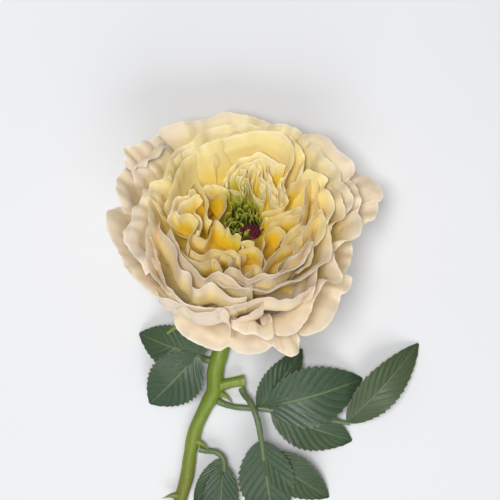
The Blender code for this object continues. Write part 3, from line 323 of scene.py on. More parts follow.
# %% The rims
PETALS = {
    "guard_low_left": ("guard", 92, (25, 8), 0.6, [
        (-25, -28.5, 0), (-24.5, -32.5, 0), (-23.5, -35, -1), (-20.5, -38.5, -1), (-16.5, -40.5, -2),
        (-12.5, -42.5, -2), (-8.5, -43, -3), (-5, -42, -2), (-1.5, -44, -3), (2, -44.5, -3), (6, -44, -3),
        (9.5, -42, -3), (11.5, -40, -2)]),
    "guard_low": ("guard", 95, (25, 6), 0.6, [
        (7, -40, -2), (11, -42, -2), (13.5, -43.5, -3), (17, -45.5, -3), (19.5, -44.5, -3),
        (20.5, -42.5, -2), (20, -39.5, -1), (20, -37.5, -1)]),
    "guard_low_right": ("guard", 80, (25, 6), 0.5, [
        (19, -37, -1), (22, -38.5, 0), (26, -37.5, 0), (29.5, -36, 1), (32, -33, 2), (34, -29, 3),
        (35, -25.5, 3), (35.5, -23.5, 4), (37.5, -23, 5), (39, -21, 6), (39.5, -18.5, 8),
        (37, -17.5, 9)]),
    "guard_right": ("guard", 58, (20, 6), 0.4, [
        (39.5, 0.5, 10), (40, -4, 10), (40, -8, 10), (39.5, -12.5, 10), (37.5, -17, 11),
        (35.5, -20.5, 11)]),
    "guard_out_low": ("guard", 70, (30, 5), 0.4, [
        (47.5, 11.5, 17), (49, 10, 17), (50, 7.5, 17), (49.5, 4.5, 17), (48, 2, 16.5), (45.5, 1, 16),
        (43, -0.5, 15)]),
    "guard_out_high": ("guard", 66, (40, 6), 0.5, [
        (41.5, 26, 18), (44, 21.5, 19), (46.5, 20.5, 19), (48, 20, 19.5), (49.5, 16.5, 20), (51, 14, 20),
        (52, 12, 20), (51.5, 10, 19), (50, 9, 18), (49, 10.5, 17.5)]),
    "back_1": ("cup", 30, (35, 7), 0.7, [
        (-34.5, 28, 26), (-33.5, 30.5, 29), (-31, 33.5, 31), (-27, 35, 32), (-21.5, 36, 33),
        (-16, 37, 33), (-11.5, 38.5, 33), (-7, 40.5, 33), (-2.5, 39.5, 33), (2.5, 38.5, 33),
        (6, 38.5, 32), (8.5, 38, 31), (11, 37, 30), (12.5, 36.5, 26)]),
    "back_2": ("cup", 32, (35, 5), 0.5, [
        (7, 36.5, 27), (9, 36.5, 30), (12, 36, 31.5), (16, 35, 32), (20, 34, 31.5), (22, 34, 29),
        (22.5, 32.5, 25)]),
    "back_3": ("cup", 30, (45, 8), 0.6, [
        (20, 33, 25), (21.5, 33, 30), (25, 31, 32), (29, 30, 32), (32, 27.5, 32), (34.5, 23, 32),
        (38, 20, 31), (40.5, 17.5, 30), (41, 15.5, 28), (40.5, 14, 26), (39, 13.5, 24), (37, 16, 22)]),
    "back_4": ("cup", 26, (25, 6), 0.5, [
        (-28.5, 19, 26), (-27, 22.5, 28), (-24.5, 25.5, 29), (-21.5, 26.5, 30), (-19, 27.5, 31),
        (-18, 30, 31), (-15.5, 32.5, 31), (-11.5, 34, 31.5), (-6.5, 35, 32), (-1, 36, 32),
        (4, 35.5, 31.5), (8, 35, 30), (10.5, 34, 27)]),
    "back_5": ("cup", 24, (25, 5), 0.4, [
        (-24.5, 20, 26), (-23.5, 23, 27.5), (-22, 25, 28.5), (-19, 26, 29), (-16, 27, 29),
        (-14, 28, 29.5), (-11, 29, 30), (-7, 31, 30), (-2, 34, 30), (2.5, 34.5, 29), (5, 34.5, 26)]),
    "back_6": ("cup", 16, (25, 6), 0.3, [
        (-11.5, 22.5, 22), (-11.5, 24.5, 25), (-10.5, 27, 27.5), (-8.5, 29.5, 29), (-5, 31, 30),
        (-0.5, 32, 30.5), (4, 33, 31), (9, 32.5, 31.5), (13.5, 32, 31.5), (16.5, 29, 31),
        (18.5, 25.5, 30), (19, 21.5, 29), (18.5, 18, 27.5), (16.5, 16, 25.5), (14, 16.5, 23)]),
    "back_7": ("cup", 22, (30, 5), 0.4, [
        (15, 36, 29), (17.5, 31.5, 30), (20, 28, 30), (22, 24, 30), (22.5, 20.5, 29), (22.5, 17.5, 27.5),
        (21.5, 15.5, 25), (20, 15, 22)]),
    "back_8": ("cup", 24, (35, 6), 0.5, [
        (20.5, 28, 26), (22.5, 29, 29), (25.5, 28, 30.5), (28, 25, 31), (29.5, 21.5, 30.5),
        (31.5, 19, 30), (34, 17.5, 29.5), (35.5, 15, 28.5), (36, 12, 27), (35, 10.5, 25)]),
    "left_1": ("cup", 30, (45, 9), 0.5, [
        (-44.5, 5.5, 19), (-45, 6.5, 20), (-47.5, 3.5, 21), (-49.5, 0.5, 22), (-49.5, -2.5, 22),
        (-49, -6.5, 21.5), (-47, -10.5, 21), (-44.5, -15, 20.5), (-42, -20, 19.5), (-39.5, -23.5, 18.5),
        (-37, -27, 17.5), (-34, -29.5, 16.5), (-31, -32, 15), (-27.5, -32.5, 13)]),
    "left_2": ("cup", 32, (35, 7), 0.6, [
        (-42, 20.5, 25), (-43.5, 17, 27), (-45, 14, 28), (-46, 11, 28), (-46, 7.5, 28),
        (-45.5, 4.5, 27.5), (-44.5, 2, 26), (-43, -0.5, 23)]),
    "left_3": ("cup", 32, (35, 7), 0.6, [
        (-42, 15.5, 25), (-43, 17, 28), (-43.5, 20.5, 29.5), (-44, 24, 30.5), (-42.5, 24.5, 31.5),
        (-39.5, 24.5, 32), (-36.5, 26.5, 32.5), (-34, 28, 32), (-31.5, 30.5, 30)]),
    "left_flap": ("cup", 30, (-125, 9), 0.3, [
        (-36.5, 13.5, 32), (-35, 13, 33), (-34, 15, 34), (-32, 16, 34.5), (-30, 17.5, 34.5),
        (-29, 20.5, 34), (-28.5, 24, 33)]),
    "left_4": ("cup", 28, (40, 6), 0.5, [
        (-36.5, 8, 26), (-39, 9.5, 27.5), (-40, 13, 28.5), (-40, 16, 29.5), (-37.5, 17, 30.5),
        (-35, 16.5, 31), (-33, 19, 31.5), (-30.5, 23, 31), (-28, 28, 29)]),
    "left_lip": ("cup", 28, (75, 7), 0.6, [
        (-36, 8, 26), (-36.5, 4, 26.5), (-38, 2, 26), (-39.5, 0.5, 25.5), (-40, -2.5, 25), (-40, -6, 25),
        (-41.5, -8.5, 24.5), (-42.5, -11, 24), (-42, -14.5, 23.5), (-40, -17.5, 23), (-38, -21, 22.5),
        (-35.5, -24, 22), (-34, -27, 20.5)]),
    "left_5": ("cup", 24, (30, 5), 0.6, [
        (-33.5, 3, 26.5), (-34, 6, 27.5), (-33.5, 8.5, 28.5), (-32, 9.5, 29.5), (-29.5, 10, 29.5),
        (-28.5, 13, 30), (-27.5, 18, 30.5), (-26, 22, 30), (-23.5, 26, 28.5)]),
    "left_6": ("cup", 16, (30, 5), 0.5, [
        (-33, 8, 26), (-34, 3, 26.5), (-34, -1, 26.5), (-34, -4.5, 26.5), (-33.5, -8, 26),
        (-34.5, -11, 26), (-34.5, -15, 25.5), (-34, -19.5, 25), (-33, -24.5, 24.5), (-31.5, -29, 24),
        (-29.5, -32.5, 23), (-27, -35, 21.5), (-23.5, -36.5, 19.5)]),
    "left_7": ("cup", 18, (22, 4), 0.5, [
        (-29, -2.5, 25), (-31, 1, 26), (-31.5, 4, 27), (-30, 8, 27.5), (-28, 11, 28.5), (-27, 15, 29),
        (-25.5, 19, 29), (-24.5, 22.5, 29), (-22, 26, 28)]),
    "left_8": ("cup", 15, (20, 4), 0.5, [
        (-25.5, -7.5, 24), (-27, -3.5, 25), (-28, 1, 26), (-26.5, 4.5, 27), (-26, 9.5, 27.5),
        (-25, 13.5, 28), (-23, 18, 28), (-20.5, 22, 28), (-17.5, 25.5, 27)]),
    "front_1": ("cup", 2, (14, 5), 0.3, [
        (-30.5, -30, 15), (-28.5, -34.5, 17.5), (-25.5, -36.5, 19), (-22.5, -38.5, 20),
        (-19, -40.5, 20.5), (-16, -42.5, 20.5), (-13, -43.5, 20.5), (-10, -43.5, 21), (-8.5, -43, 22),
        (-6.5, -42.5, 22), (-5, -43, 21), (-4.5, -44, 18.5), (-4.5, -44.5, 14)]),
    "front_2": ("cup", 18, (105, 9), 0.3, [
        (-6, -40, 12), (-4, -43, 12), (-2, -45, 12), (1, -46.5, 12), (4.5, -46.5, 12), (6.5, -47.5, 11.5),
        (8.5, -48, 11), (10.5, -47, 11), (11, -45, 11.5), (10.5, -43, 12)]),
    "front_3": ("cup", 28, (75, 17), 0.3, [
        (7, -43, 9), (10.5, -43.5, 9), (12.5, -45, 9), (15, -45, 9), (17.5, -44.5, 9.5), (20, -42.5, 10),
        (22.5, -39.5, 10.5), (24, -36.5, 11.5), (25, -33.5, 12.5), (26.5, -30, 13.5)]),
    "front_4": ("cup", 4, (14, 5), 0.3, [
        (-5, -40.5, 15), (-3.5, -42.5, 16), (-1, -42.5, 16.5), (1.5, -42.5, 17.5), (3.5, -41.5, 18.5),
        (5.5, -40.5, 20), (7.5, -39.5, 21)]),
    "front_5": ("cup", (-14, 2), (14, 5), 0.3, [
        (-33.5, -10, 24), (-32, -15.5, 24.5), (-30.5, -21.5, 25), (-29, -26.5, 25), (-27, -31, 24.5),
        (-24.5, -35, 23.5), (-22, -38.5, 23), (-19, -41, 22.5), (-15.5, -42, 22), (-12, -42.5, 22),
        (-8, -42.5, 22), (-4, -41.5, 22), (-1, -40.5, 22.5), (1.5, -39, 22.5)]),
    "front_6": ("cup", 6, (14, 5), 0.4, [
        (-4.5, -41, 20), (-1.5, -40.5, 22), (2, -40, 23), (6, -40, 23.5), (10, -39.5, 24),
        (13.5, -40, 24), (16.5, -40, 24), (19, -39, 24.5), (21.5, -37, 24.5), (24.5, -35, 24),
        (26, -31.5, 23.5)]),
    "front_7": ("cup", (-32, -4), (14, 5), 0.3, [
        (-29.5, -4.5, 23), (-28.5, -10, 24), (-25.5, -14.5, 25), (-23.5, -18, 25.5), (-22.5, -22, 26),
        (-22.5, -25.5, 26.5), (-21.5, -29.5, 26.5), (-19, -30.5, 26.5), (-17.5, -33.5, 26.5),
        (-17, -36.5, 26.5), (-15, -37.5, 26.5), (-13, -36, 26.5), (-11, -35, 27), (-9, -36, 27),
        (-7, -38, 26.5), (-4, -40, 25.5), (-1.5, -40.5, 25), (1.5, -40, 24.5)]),
    "front_8": ("cup", 14, (55, 5), 0.35, [
        (-9, -34, 25), (-6.5, -36, 25.5), (-3, -36.5, 25.5), (0, -37, 25.5), (4, -38, 25.5),
        (8, -38, 25.5), (11, -37, 25.5), (14, -36, 26), (17.5, -34.5, 26), (21, -33, 26),
        (23.5, -30.5, 25.5), (26, -27.5, 25)]),
    "front_9": ("cup", 10, (50, 4.5), 0.35, [
        (-1.5, -35, 26), (1.5, -36, 26.5), (4.5, -34.5, 27), (8, -33.5, 27), (11.5, -33, 27),
        (14.5, -31.5, 27), (17.5, -29.5, 27), (20, -27.5, 27), (22.5, -24, 27), (24.5, -20.5, 27),
        (25, -16, 26)]),
    "right_1": ("cup", 26, (60, 9), 0.4, [
        (39.5, 7.5, 18), (40.5, 4.5, 20), (42, 0.5, 21.5), (43, -3, 22), (43, -6.5, 22), (42, -9.5, 21.5),
        (39.5, -11, 20.5), (36.5, -11.5, 20), (34.5, -12.5, 19), (33, -14, 17.5)]),
    "right_2": ("cup", 28, (45, 6), 0.4, [
        (38.5, 15.5, 23), (40.5, 13, 25), (41.5, 10.5, 25), (42.5, 6.5, 25), (43, 4, 24.5),
        (42.5, 2, 23.5), (41.5, 1, 22), (39.5, 1.5, 20)]),
    "right_3": ("cup", 22, (55, 9), 0.4, [
        (31, -6.5, 22), (31.5, -11.5, 22.5), (32, -15.5, 22), (32.5, -19, 21.5), (33.5, -22, 20.5),
        (34.5, -24.5, 20), (35, -27, 19.5), (34, -29, 19.5), (32, -30, 19.5), (30, -29.5, 19.5),
        (28, -31, 19.5), (26.5, -33.5, 19), (25.5, -35.5, 19), (24.5, -37.5, 18)]),
    "right_4": ("cup", 24, (40, 6), 0.4, [
        (33.5, 15, 26), (35.5, 11.5, 27.5), (37.5, 8.5, 28), (39, 5.5, 28), (40, 2.5, 27), (39.5, 0, 26),
        (38, -1.5, 25), (36, -2.5, 23)]),
    "right_5": ("cup", 22, (35, 5), 0.5, [
        (33, 11.5, 26), (34.5, 7.5, 27), (36, 4, 27.5), (36.5, 0, 27), (36.5, -3.5, 26.5),
        (35, -5.5, 25.5), (33, -7.5, 24.5), (31.5, -9.5, 23)]),
    "right_6": ("cup", 16, (50, 7), 0.4, [
        (30, -5.5, 25), (31, -10.5, 25.5), (31.5, -15, 25), (31.5, -19.5, 24.5), (30.5, -23.5, 24),
        (28.5, -24.5, 23.5), (26.5, -26, 23.5), (26, -29, 23), (25.5, -32, 23), (25, -35, 22),
        (23.5, -37.5, 21), (21.5, -39, 20)]),
    "right_7": ("cup", 20, (35, 5), 0.5, [
        (22, 16, 26), (24, 16.5, 28), (26.5, 14.5, 28.5), (29, 13, 29), (31, 11, 28.5), (29.5, 9.5, 28),
        (29.5, 7, 28), (32, 5, 28), (32.5, 2, 28), (32.5, -2, 27.5), (32, -5.5, 27), (30.5, -8, 25.5)]),
    "right_8": ("cup", 10, (50, 6), 0.4, [
        (28.5, 0, 25), (29.5, -5.5, 26), (30, -10, 26), (29, -14, 26), (26.5, -16, 25.5), (25, -18, 25.5),
        (25, -22, 25), (24, -25.5, 25), (22, -27.5, 25), (19, -29.5, 25)]),
    "front_10": ("cup", (-34, -8), (14, 5), 0.3, [
        (-26, -9, 25), (-24.5, -14, 25.5), (-22.5, -18.5, 26), (-21, -22.5, 26.5), (-18.5, -26, 26.5),
        (-16.5, -29, 27), (-14.5, -32, 27), (-12.5, -33, 27), (-10, -31.5, 27), (-7.5, -30.5, 27),
        (-4.5, -33, 27), (-2, -35, 27), (0, -36.5, 26.5), (3.5, -35.5, 26.5)]),
    "front_11": ("cup", -12, (14, 5), 0.3, [
        (-7, -30, 26), (-4.5, -28.5, 26.5), (-2, -29.5, 26.5), (0, -32, 27), (2, -33.5, 27),
        (4.5, -32.5, 27), (7, -31.5, 27), (9.5, -32, 27), (12, -30, 27), (15, -27.5, 27.5),
        (17.5, -24.5, 27.5), (20, -22, 27.5), (22.5, -17.5, 27), (24.5, -12.5, 26.5)]),
    "guard_back_right": ("guard", 66, (30, 7), 1.2, [
        (38, 20, 12), (36, 30, 9), (26, 40, 7), (13, 44, 9), (5, 42, 13)]),
    "guard_back_left": ("guard", 66, (30, 7), 1.2, [
        (4, 42, 14), (-10, 44, 9), (-24, 41, 7), (-36, 31, 9), (-42, 20, 13)]),
    "guard_left": ("guard", 66, (30, 7), 1.2, [
        (-41, 22, 12), (-46, 10, 10), (-46, -4, 9), (-41, -17, 9), (-33, -25, 8)]),
    "top_1": ("heart", 15, (25, 2), 0.3, [
        (-6.5, 15.5, 20), (-6, 17.5, 24), (-3.5, 20.5, 26), (-0.5, 23, 27), (3, 24, 27), (6, 25, 28),
        (9.5, 23.5, 27), (12.5, 22, 26), (16, 21, 25)]),
    "top_2": ("heart", 10, (25, 2), 0.2, [
        (-7.5, 14, 19), (-7, 16.5, 22), (-5, 19, 24), (-2, 20, 24), (1, 20, 24), (0, 18.5, 23)]),
    "top_3": ("heart", 10, (25, 2), 0.2, [
        (-0.5, 11.5, 15), (-0.5, 14, 18), (-1.5, 16.5, 21), (0, 18.5, 23), (2, 20, 22), (2.5, 18, 19),
        (3.5, 16, 15)]),
    "top_4": ("heart", 10, (25, 2), 0.2, [
        (2, 14.5, 15), (2, 17, 20), (2.5, 20.5, 24), (4, 22, 25), (5.5, 20.5, 23), (6.5, 18, 19),
        (8, 14, 15)]),
    "top_5": ("heart", 10, (25, 2), 0.2, [
        (5.5, 22, 26), (7, 20.5, 24), (7.5, 18.5, 21), (9.5, 15.5, 19), (10.5, 11.5, 16)]),
    "top_6": ("heart", 10, (25, 2), 0.2, [
        (9, 22.5, 26), (10, 18.5, 24), (11, 15, 22), (13, 12.5, 20), (13, 8.5, 17)]),
    "top_7": ("heart", 12, (25, 2), 0.2, [
        (17, 18, 25), (15, 14.5, 24), (16, 10.5, 23), (16.5, 7.5, 22), (15, 6, 20), (12, 5.5, 18),
        (8.5, 6.5, 15)]),
    "side_3": ("fore", -20, (8, 3), 0.25, [
        (27.5, 12, 28), (26.5, 7.5, 28), (26, 3, 28), (26.5, -0.5, 27.5), (25.5, -4, 27),
        (23.5, -7, 26.5), (22, -10, 26), (20.5, -12, 25.5), (19, -14.5, 25), (17.5, -17.5, 24.5)]),
    "fold_1": ("fore", -30, (10, 2), 0.2, [
        (-14.5, 10.5, 24), (-13, 9.5, 23.5), (-11.5, 8.5, 23), (-10, 8.5, 22.5), (-8.5, 9.5, 22),
        (-7.5, 10, 21.5), (-6, 9, 21), (-6, 7, 20.5), (-6, 5, 20), (-7, 2.5, 20), (-8, 0.5, 20),
        (-8.5, -1, 20)]),
    "fold_2": ("fore", -28, (10, 2), 0.2, [
        (-19, 9, 26.5), (-18, 10.5, 26.5), (-16.5, 11.5, 26), (-15.5, 10.5, 25.5), (-14.5, 8.5, 25),
        (-13.5, 6.5, 24.5), (-12.5, 4.5, 24), (-12, 2.5, 23.5), (-13, 0.5, 23), (-13, -1, 22.5),
        (-12.5, -2.5, 22), (-11, -3, 21.5)]),
    "fold_3": ("fore", -28, (10, 2), 0.2, [
        (-16, 4.5, 26), (-15, 3, 25.5), (-15.5, 1.5, 25), (-16.5, 0.5, 24.5), (-17, -1.5, 24.5),
        (-16, -2.5, 24), (-15, -4, 23.5), (-14.5, -5.5, 23), (-14.5, -7.5, 22.5), (-15.5, -8.5, 22.5),
        (-16.5, -8, 22.5)]),
    "fold_4": ("heart", 14, (25, 2), 0.2, [
        (-24, -4.5, 26), (-24, -3, 26.5), (-23, -1, 26.5), (-22, 1, 27), (-20, 2.5, 27), (-18.5, 4, 27),
        (-16.5, 5, 27), (-16, 4.5, 26)]),
    "fold_5": ("fore", -24, (10, 2), 0.25, [
        (-24.5, -3, 26.5), (-22.5, -4, 26.5), (-20.5, -3.5, 26.5), (-18.5, -3.5, 26), (-17, -4.5, 25.5),
        (-16, -6, 25), (-16.5, -8, 25), (-17.5, -10, 24.5), (-18.5, -12.5, 24.5), (-19, -14.5, 24),
        (-19, -17, 24)]),
    "fold_6": ("heart", 20, (25, 2), 0.3, [
        (-26.5, -7, 25.5), (-26.5, -4, 26.5), (-25.5, -1, 27), (-25, 2, 27.5), (-23.5, 3.5, 27.5),
        (-21.5, 3.5, 27.5), (-20, 4.5, 27.5), (-19.5, 6.5, 27.5), (-18, 8, 27)]),
    "fold_7": ("heart", 8, (25, 2), 0.2, [
        (-15, 9.5, 25.5), (-13, 11, 25.5), (-11, 12, 24.5), (-9, 12.5, 23.5), (-6.5, 12.5, 22),
        (-5, 12.5, 20)]),
    "low_crown": ("fore", -18, (20, 2), 0.25, [
        (-19.5, -11.5, 21), (-18, -10, 21.5), (-15.5, -11, 21.5), (-13, -11, 21), (-12, -9, 21.5),
        (-11, -6, 21.5), (-10.5, -3, 21.5), (-9, -2.5, 21), (-7.5, -4, 20), (-6.5, -5.5, 19.5),
        (-5.5, -4, 19.5), (-4.5, -4.5, 19), (-3.5, -7, 18.5), (-2.5, -6, 18), (-1, -8, 17.5)]),
    "low_bowl": ("fore", -14, (20, 2), 0.25, [
        (-18.5, -17.5, 23), (-16, -19.5, 23), (-13.5, -19, 22.5), (-11, -17, 22), (-8.5, -16, 21.5),
        (-5.5, -16, 21), (-3.5, -16.5, 20.5), (-1, -17.5, 20), (1, -16, 20)]),
    "low_nest": ("fore", -12, (20, 2), 0.25, [
        (-22, -20, 25), (-19.5, -22.5, 25), (-17, -24, 25), (-14.5, -24.5, 24.5), (-12, -23, 24),
        (-10.5, -22, 23.5), (-8.5, -24, 23.5), (-7, -27.5, 24)]),
    "low_cup": ("fore", -10, (20, 2), 0.25, [
        (-1.5, -16, 20), (0, -14.5, 20), (2.5, -14, 20.5), (4.5, -15, 21), (6, -16.5, 21.5),
        (7.5, -19, 22), (8, -22.5, 22.5), (7.5, -26, 23.5), (7, -30, 24.5)]),
    "low_fan_1": ("fore", -8, (20, 2), 0.2, [
        (-10, -23.5, 23.5), (-9, -20, 22.5), (-7.5, -18.5, 22), (-5, -19, 22), (-4, -22, 22.5),
        (-4.5, -25, 23.5), (-3.5, -28.5, 24)]),
    "low_fan_2": ("fore", -8, (20, 2), 0.2, [
        (-4.5, -28, 24), (-4, -24, 23), (-2.5, -20.5, 22), (-1.5, -20, 22), (-0.5, -23, 23),
        (-1, -26, 23.5), (0, -30.5, 24.5)]),
    "low_fan_3": ("fore", -6, (20, 2), 0.2, [
        (1, -31, 24.5), (2.5, -27.5, 24), (4.5, -25.5, 23.5), (6.5, -27, 24), (7, -30.5, 24.5)]),
    "low_ring": ("fore", -30, (15, 1.5), 0.1, [
        (0, -12.5, 18.5), (0, -10, 18), (1.5, -8.5, 17.5), (3, -8.5, 17.5), (4, -10.5, 18),
        (4, -13, 18.5)]),
    "side_fold": ("heart", 4, (25, 2), 0.2, [
        (7, -23, 23), (7, -16.5, 21.5), (7.5, -11.5, 20.5), (8.5, -8, 20.5), (10.5, -6, 21),
        (12.5, -5.5, 21.5), (14, -7, 22), (15.5, -9, 22.5), (15, -12, 23)]),
    "side_pocket": ("fore", -4, (20, 2), 0.25, [
        (7, -30.5, 24.5), (8, -25.5, 23.5), (9.5, -21.5, 23), (11.5, -19, 23), (13, -18, 23.5),
        (14.5, -16.5, 24), (17, -16, 25), (19, -15.5, 26), (21.5, -14.5, 27)]),
    "side_pleat": ("fore", -4, (20, 2), 0.25, [
        (11.5, -31, 25.5), (12.5, -27, 25), (14.5, -23.5, 24.5), (16.5, -21.5, 25), (19, -21, 26),
        (21.5, -19, 26.5), (23.5, -16, 27)]),
    "side_crest": ("heart", 10, (25, 2), 0.25, [
        (13.5, -12.5, 22), (16, -10.5, 23), (19, -9, 24.5), (21.5, -9, 25.5), (23.5, -8.5, 26.5),
        (25.5, -6, 27), (27.5, -2.5, 27)]),
    "side_wall": ("fore", -24, (8, 3), 0.25, [
        (24, 11.5, 27.5), (23, 8, 27.5), (22, 4, 27.5), (21.5, 0, 27), (21, -4, 26.5), (20, -7, 25.5),
        (18, -9, 25), (16, -10.5, 24), (14.5, -13, 23.5), (13.5, -15.5, 23)]),
    "side_plate": ("heart", 6, (25, 2), 0.2, [
        (25.5, 13, 27), (22.5, 13.5, 26.5), (20, 12.5, 26), (17, 11.5, 25.5), (16, 8, 24.5),
        (16.5, 5.5, 23.5), (15, 3.5, 21.5), (12, 4, 19.5), (9, 5.5, 17.5), (7, 5.5, 16)]),
    "side_tongue": ("heart", 6, (25, 2), 0.2, [
        (23, 1, 26.5), (20.5, 0, 25.5), (17, 0.5, 23.5), (14, 1, 21), (11, 1.5, 19), (8.5, 2, 17),
        (7, 0, 16)]),
    "side_pleats": ("heart", 6, (25, 2), 0.2, [
        (21.5, -3, 25.5), (19, -2.5, 24.5), (16.5, -2, 23), (14, -1.5, 21), (11.5, -1.5, 19),
        (9, -2, 17)]),
    "top_lobe_1": ("heart", 2, (20, 2), 0.15, [
        (2.5, 21, 23.5), (2.5, 18.5, 22), (2.5, 16.5, 20), (3.5, 14, 18), (5.5, 12.5, 16), (7.5, 12, 16),
        (8, 14, 17), (7, 16, 19), (6, 18.5, 21), (6, 20.5, 23)]),
    "top_lobe_2": ("heart", 2, (20, 2), 0.15, [
        (-7.5, 16, 20.5), (-6.5, 14.5, 19.5), (-5, 14.5, 19), (-2.5, 14.5, 18), (-0.5, 14, 17.5),
        (0, 15, 18.5), (-0.5, 16.5, 20), (-1, 18.5, 21.5)]),
    "top_lobe_3": ("heart", 4, (20, 2), 0.15, [
        (8, 19.5, 24), (9.5, 17, 22.5), (10.5, 15, 20.5), (11.5, 13, 18.5), (12.5, 10.5, 17.5),
        (14, 8, 17), (15.5, 8, 18), (16.5, 10, 20), (16, 12, 22)]),
}
print(len(PETALS), "petals")

# %% [markdown]
# ## From a rim to a petal
#
# A petal could be sculpted, or a curve could be lofted. Here a grid is laid over it:
# each column of the grid is one smooth arc from the petal's foot to its rim, leaving the
# foot at the slope of its kind and meeting the rim at its lean. Waves are added that
# grow towards the rim, because a petal's margin grows faster than its middle and has to
# buckle. The rim itself is nibbled a little, as real ones are.

# %% The surface of one petal
ROOTS = {"guard": (6.0, 0.5, 2.0), "cup": (6.0, 3.0, 6.0), "heart": (7.0, 8.0, 25.0), "fore": (9.0, 8.0, 4.0)}
NESTING = (46.0, 0.2, 1.4)  # a cup petal's root is higher and steeper the nearer its rim is than this
ROOT_SPREAD = 0.12
KNEE, NECK = 0.45, 0.4
BODY_SHARE = 0.6  # of the rows; the others lie in the margin that turns over
FINENESS = {"guard": (60, 36), "cup": (60, 36), "heart": (48, 24), "fore": (48, 26)}
SMOOTH = {"guard": 0.10, "cup": 0.09, "heart": 0.05, "fore": 0.07}  # the body of a petal is smoother than its rim
MARGIN = {"guard": 3.0, "cup": 3.5, "heart": 2.0, "fore": 2.5}  # how close to the rim its own bends stay
FLUTTER = {"guard": 0.3, "cup": 0.35, "heart": 0.4, "fore": 0.4}  # millimetres
CRINKLE = {"guard": 0.18, "cup": 0.18, "heart": 0.14, "fore": 0.12}
NIBBLE = 0.16
EYE = np.array([0.5, 3.5])


def ripples(chance, places, shortest, longest, count=4):
    """A sum of waves between these lengths across places, between about -1 and 1."""
    total = np.zeros(places.shape[:-1])
    for _ in range(count):
        length = chance.uniform(shortest, longest)
        way = np.array([chance.uniform(-1, 1) for _ in range(places.shape[-1])])
        way /= np.linalg.norm(way)
        total += np.sin(math.tau * (places @ way) / length + chance.uniform(0, math.tau))
    return total / count**0.5 / 1.4


def smoothed(curve, spread):
    """A curve without its short bends: a weighted mean over this share of its length."""
    count = len(curve)
    reach = max(1, round(spread * count))
    weights = np.exp(-0.5 * (np.arange(-2 * reach, 2 * reach + 1) / reach) ** 2)
    ends = 2 * curve[:1] - curve[2 * reach:0:-1], 2 * curve[-1:] - curve[-2:-2 * reach - 2:-1]
    long = np.concatenate([ends[0], curve, ends[1]])
    return np.stack([np.convolve(long[:, k], weights / weights.sum(), "valid") for k in range(3)], -1)


def inner_rim(name, rim_points):
    """The rim of the shorter petal that lies folded inside a petal of the heart."""
    chance = random.Random(name + " inner")
    points = through(rim_points, 9)
    toward = np.array([*EYE, 16.0]) - points
    points += toward * chance.uniform(0.06, 0.14) - np.array([0, 0, chance.uniform(0.4, 1.4)])
    along = unit(points[-1] - points[0])
    points += along * chance.uniform(-1.5, 1.5)
    points += np.array([[chance.uniform(-0.5, 0.5) for _ in range(3)] for _ in points])
    return points[1:-1]


def petal_surface(name, inner=False):
    """The points of one petal, root to rim, in the bloom's frame, and what its look needs."""
    kind, lean, (turn_over, margin), ruffle, rim_points = PETALS[name]
    layer = name.split("_")[0]
    if inner:
        rim_points = inner_rim(name, rim_points)
        name = name + " inner"
    across, along = FINENESS[kind]
    root_radius, root_height, rise = ROOTS[kind]
    edge = through(rim_points, across + 1)
    rim = smoothed(edge, SMOOTH[kind])
    middle = rim.mean(axis=0)
    if kind == "cup":
        nearer = max(0.0, NESTING[0] - np.linalg.norm(middle[:2]))
        root_height, rise = root_height + NESTING[1] * nearer, rise + NESTING[2] * nearer
    rise, turn_over = math.radians(rise), math.radians(turn_over)
    first_lean, last_lean = lean if isinstance(lean, tuple) else (lean, lean)
    lean = np.radians(np.linspace(first_lean, last_lean, across + 1))[:, None]
    root = np.zeros_like(rim)
    root[:, :2] = unit(middle[:2]) * root_radius + (rim[:, :2] - middle[:2]) * ROOT_SPREAD
    root[:, 2] = root_height
    outward = np.zeros_like(rim)
    outward[:, :2] = unit(rim[:, :2] - root[:, :2] / 2)
    axis = np.array([0, 0, 1.0])
    bend = margin / turn_over

    def in_margin(angle):
        return bend * ((np.cos(lean) - np.cos(angle)) * outward + (np.sin(angle) - np.sin(lean)) * axis)

    crest = rim - in_margin(lean + turn_over)
    reach = np.linalg.norm(crest - root, axis=1, keepdims=True)
    knee = root + KNEE * reach * (outward * math.cos(rise) + axis * math.sin(rise))
    neck = crest - NECK * reach * (outward * np.sin(lean) + axis * np.cos(lean))
    body_rows = round(BODY_SHARE * along)
    s = np.linspace(0, 1, body_rows + 1)[:, None, None] ** 0.85
    body = (1 - s) ** 3 * root + 3 * (1 - s) ** 2 * s * knee + 3 * (1 - s) * s**2 * neck + s**3 * crest
    s = np.linspace(0, 1, along - body_rows + 1)[1:, None, None]
    points = np.concatenate([body, crest + in_margin(lean + turn_over * s)])
    run = np.gradient(points, axis=0)
    normal = unit(np.cross(np.gradient(points, axis=1), run))
    step = np.linalg.norm(np.diff(points, axis=0), axis=-1)
    way = np.concatenate([np.zeros((1, across + 1)), np.cumsum(step, axis=0)])
    t = (way / way[-1:])[..., None]
    u = np.linspace(-1, 1, across + 1)[None, :, None]
    chance = random.Random(name)
    waves = sum(
        np.sin(math.pi * u * chance.uniform(1.5, 3.5) + chance.uniform(0, math.tau)) for _ in range(2))
    rim_length = np.concatenate([[0], np.cumsum(np.linalg.norm(np.diff(rim, axis=0), axis=1))])
    blade = np.zeros_like(points)
    blade[..., 0] = rim_length
    blade[..., 1] = way
    flutter = ripples(chance, blade[..., :1], 4.5, 13.0)[..., None] * FLUTTER[kind] * t**6
    crinkle = ripples(chance, blade[..., :2], 4.0, 12.0, 6)[..., None] * CRINKLE[kind]
    points = points + (edge - rim) * t ** MARGIN[kind]
    points = points + normal * (waves * ruffle * t**3 + flutter + crinkle)
    nibble = ripples(chance, blade[..., :1], 1.6, 5.0)[..., None] * NIBBLE * t**12
    points = points + unit(run) * nibble
    return points, blade, petal_tint(kind, layer, points, t[..., 0], way[-1].mean())
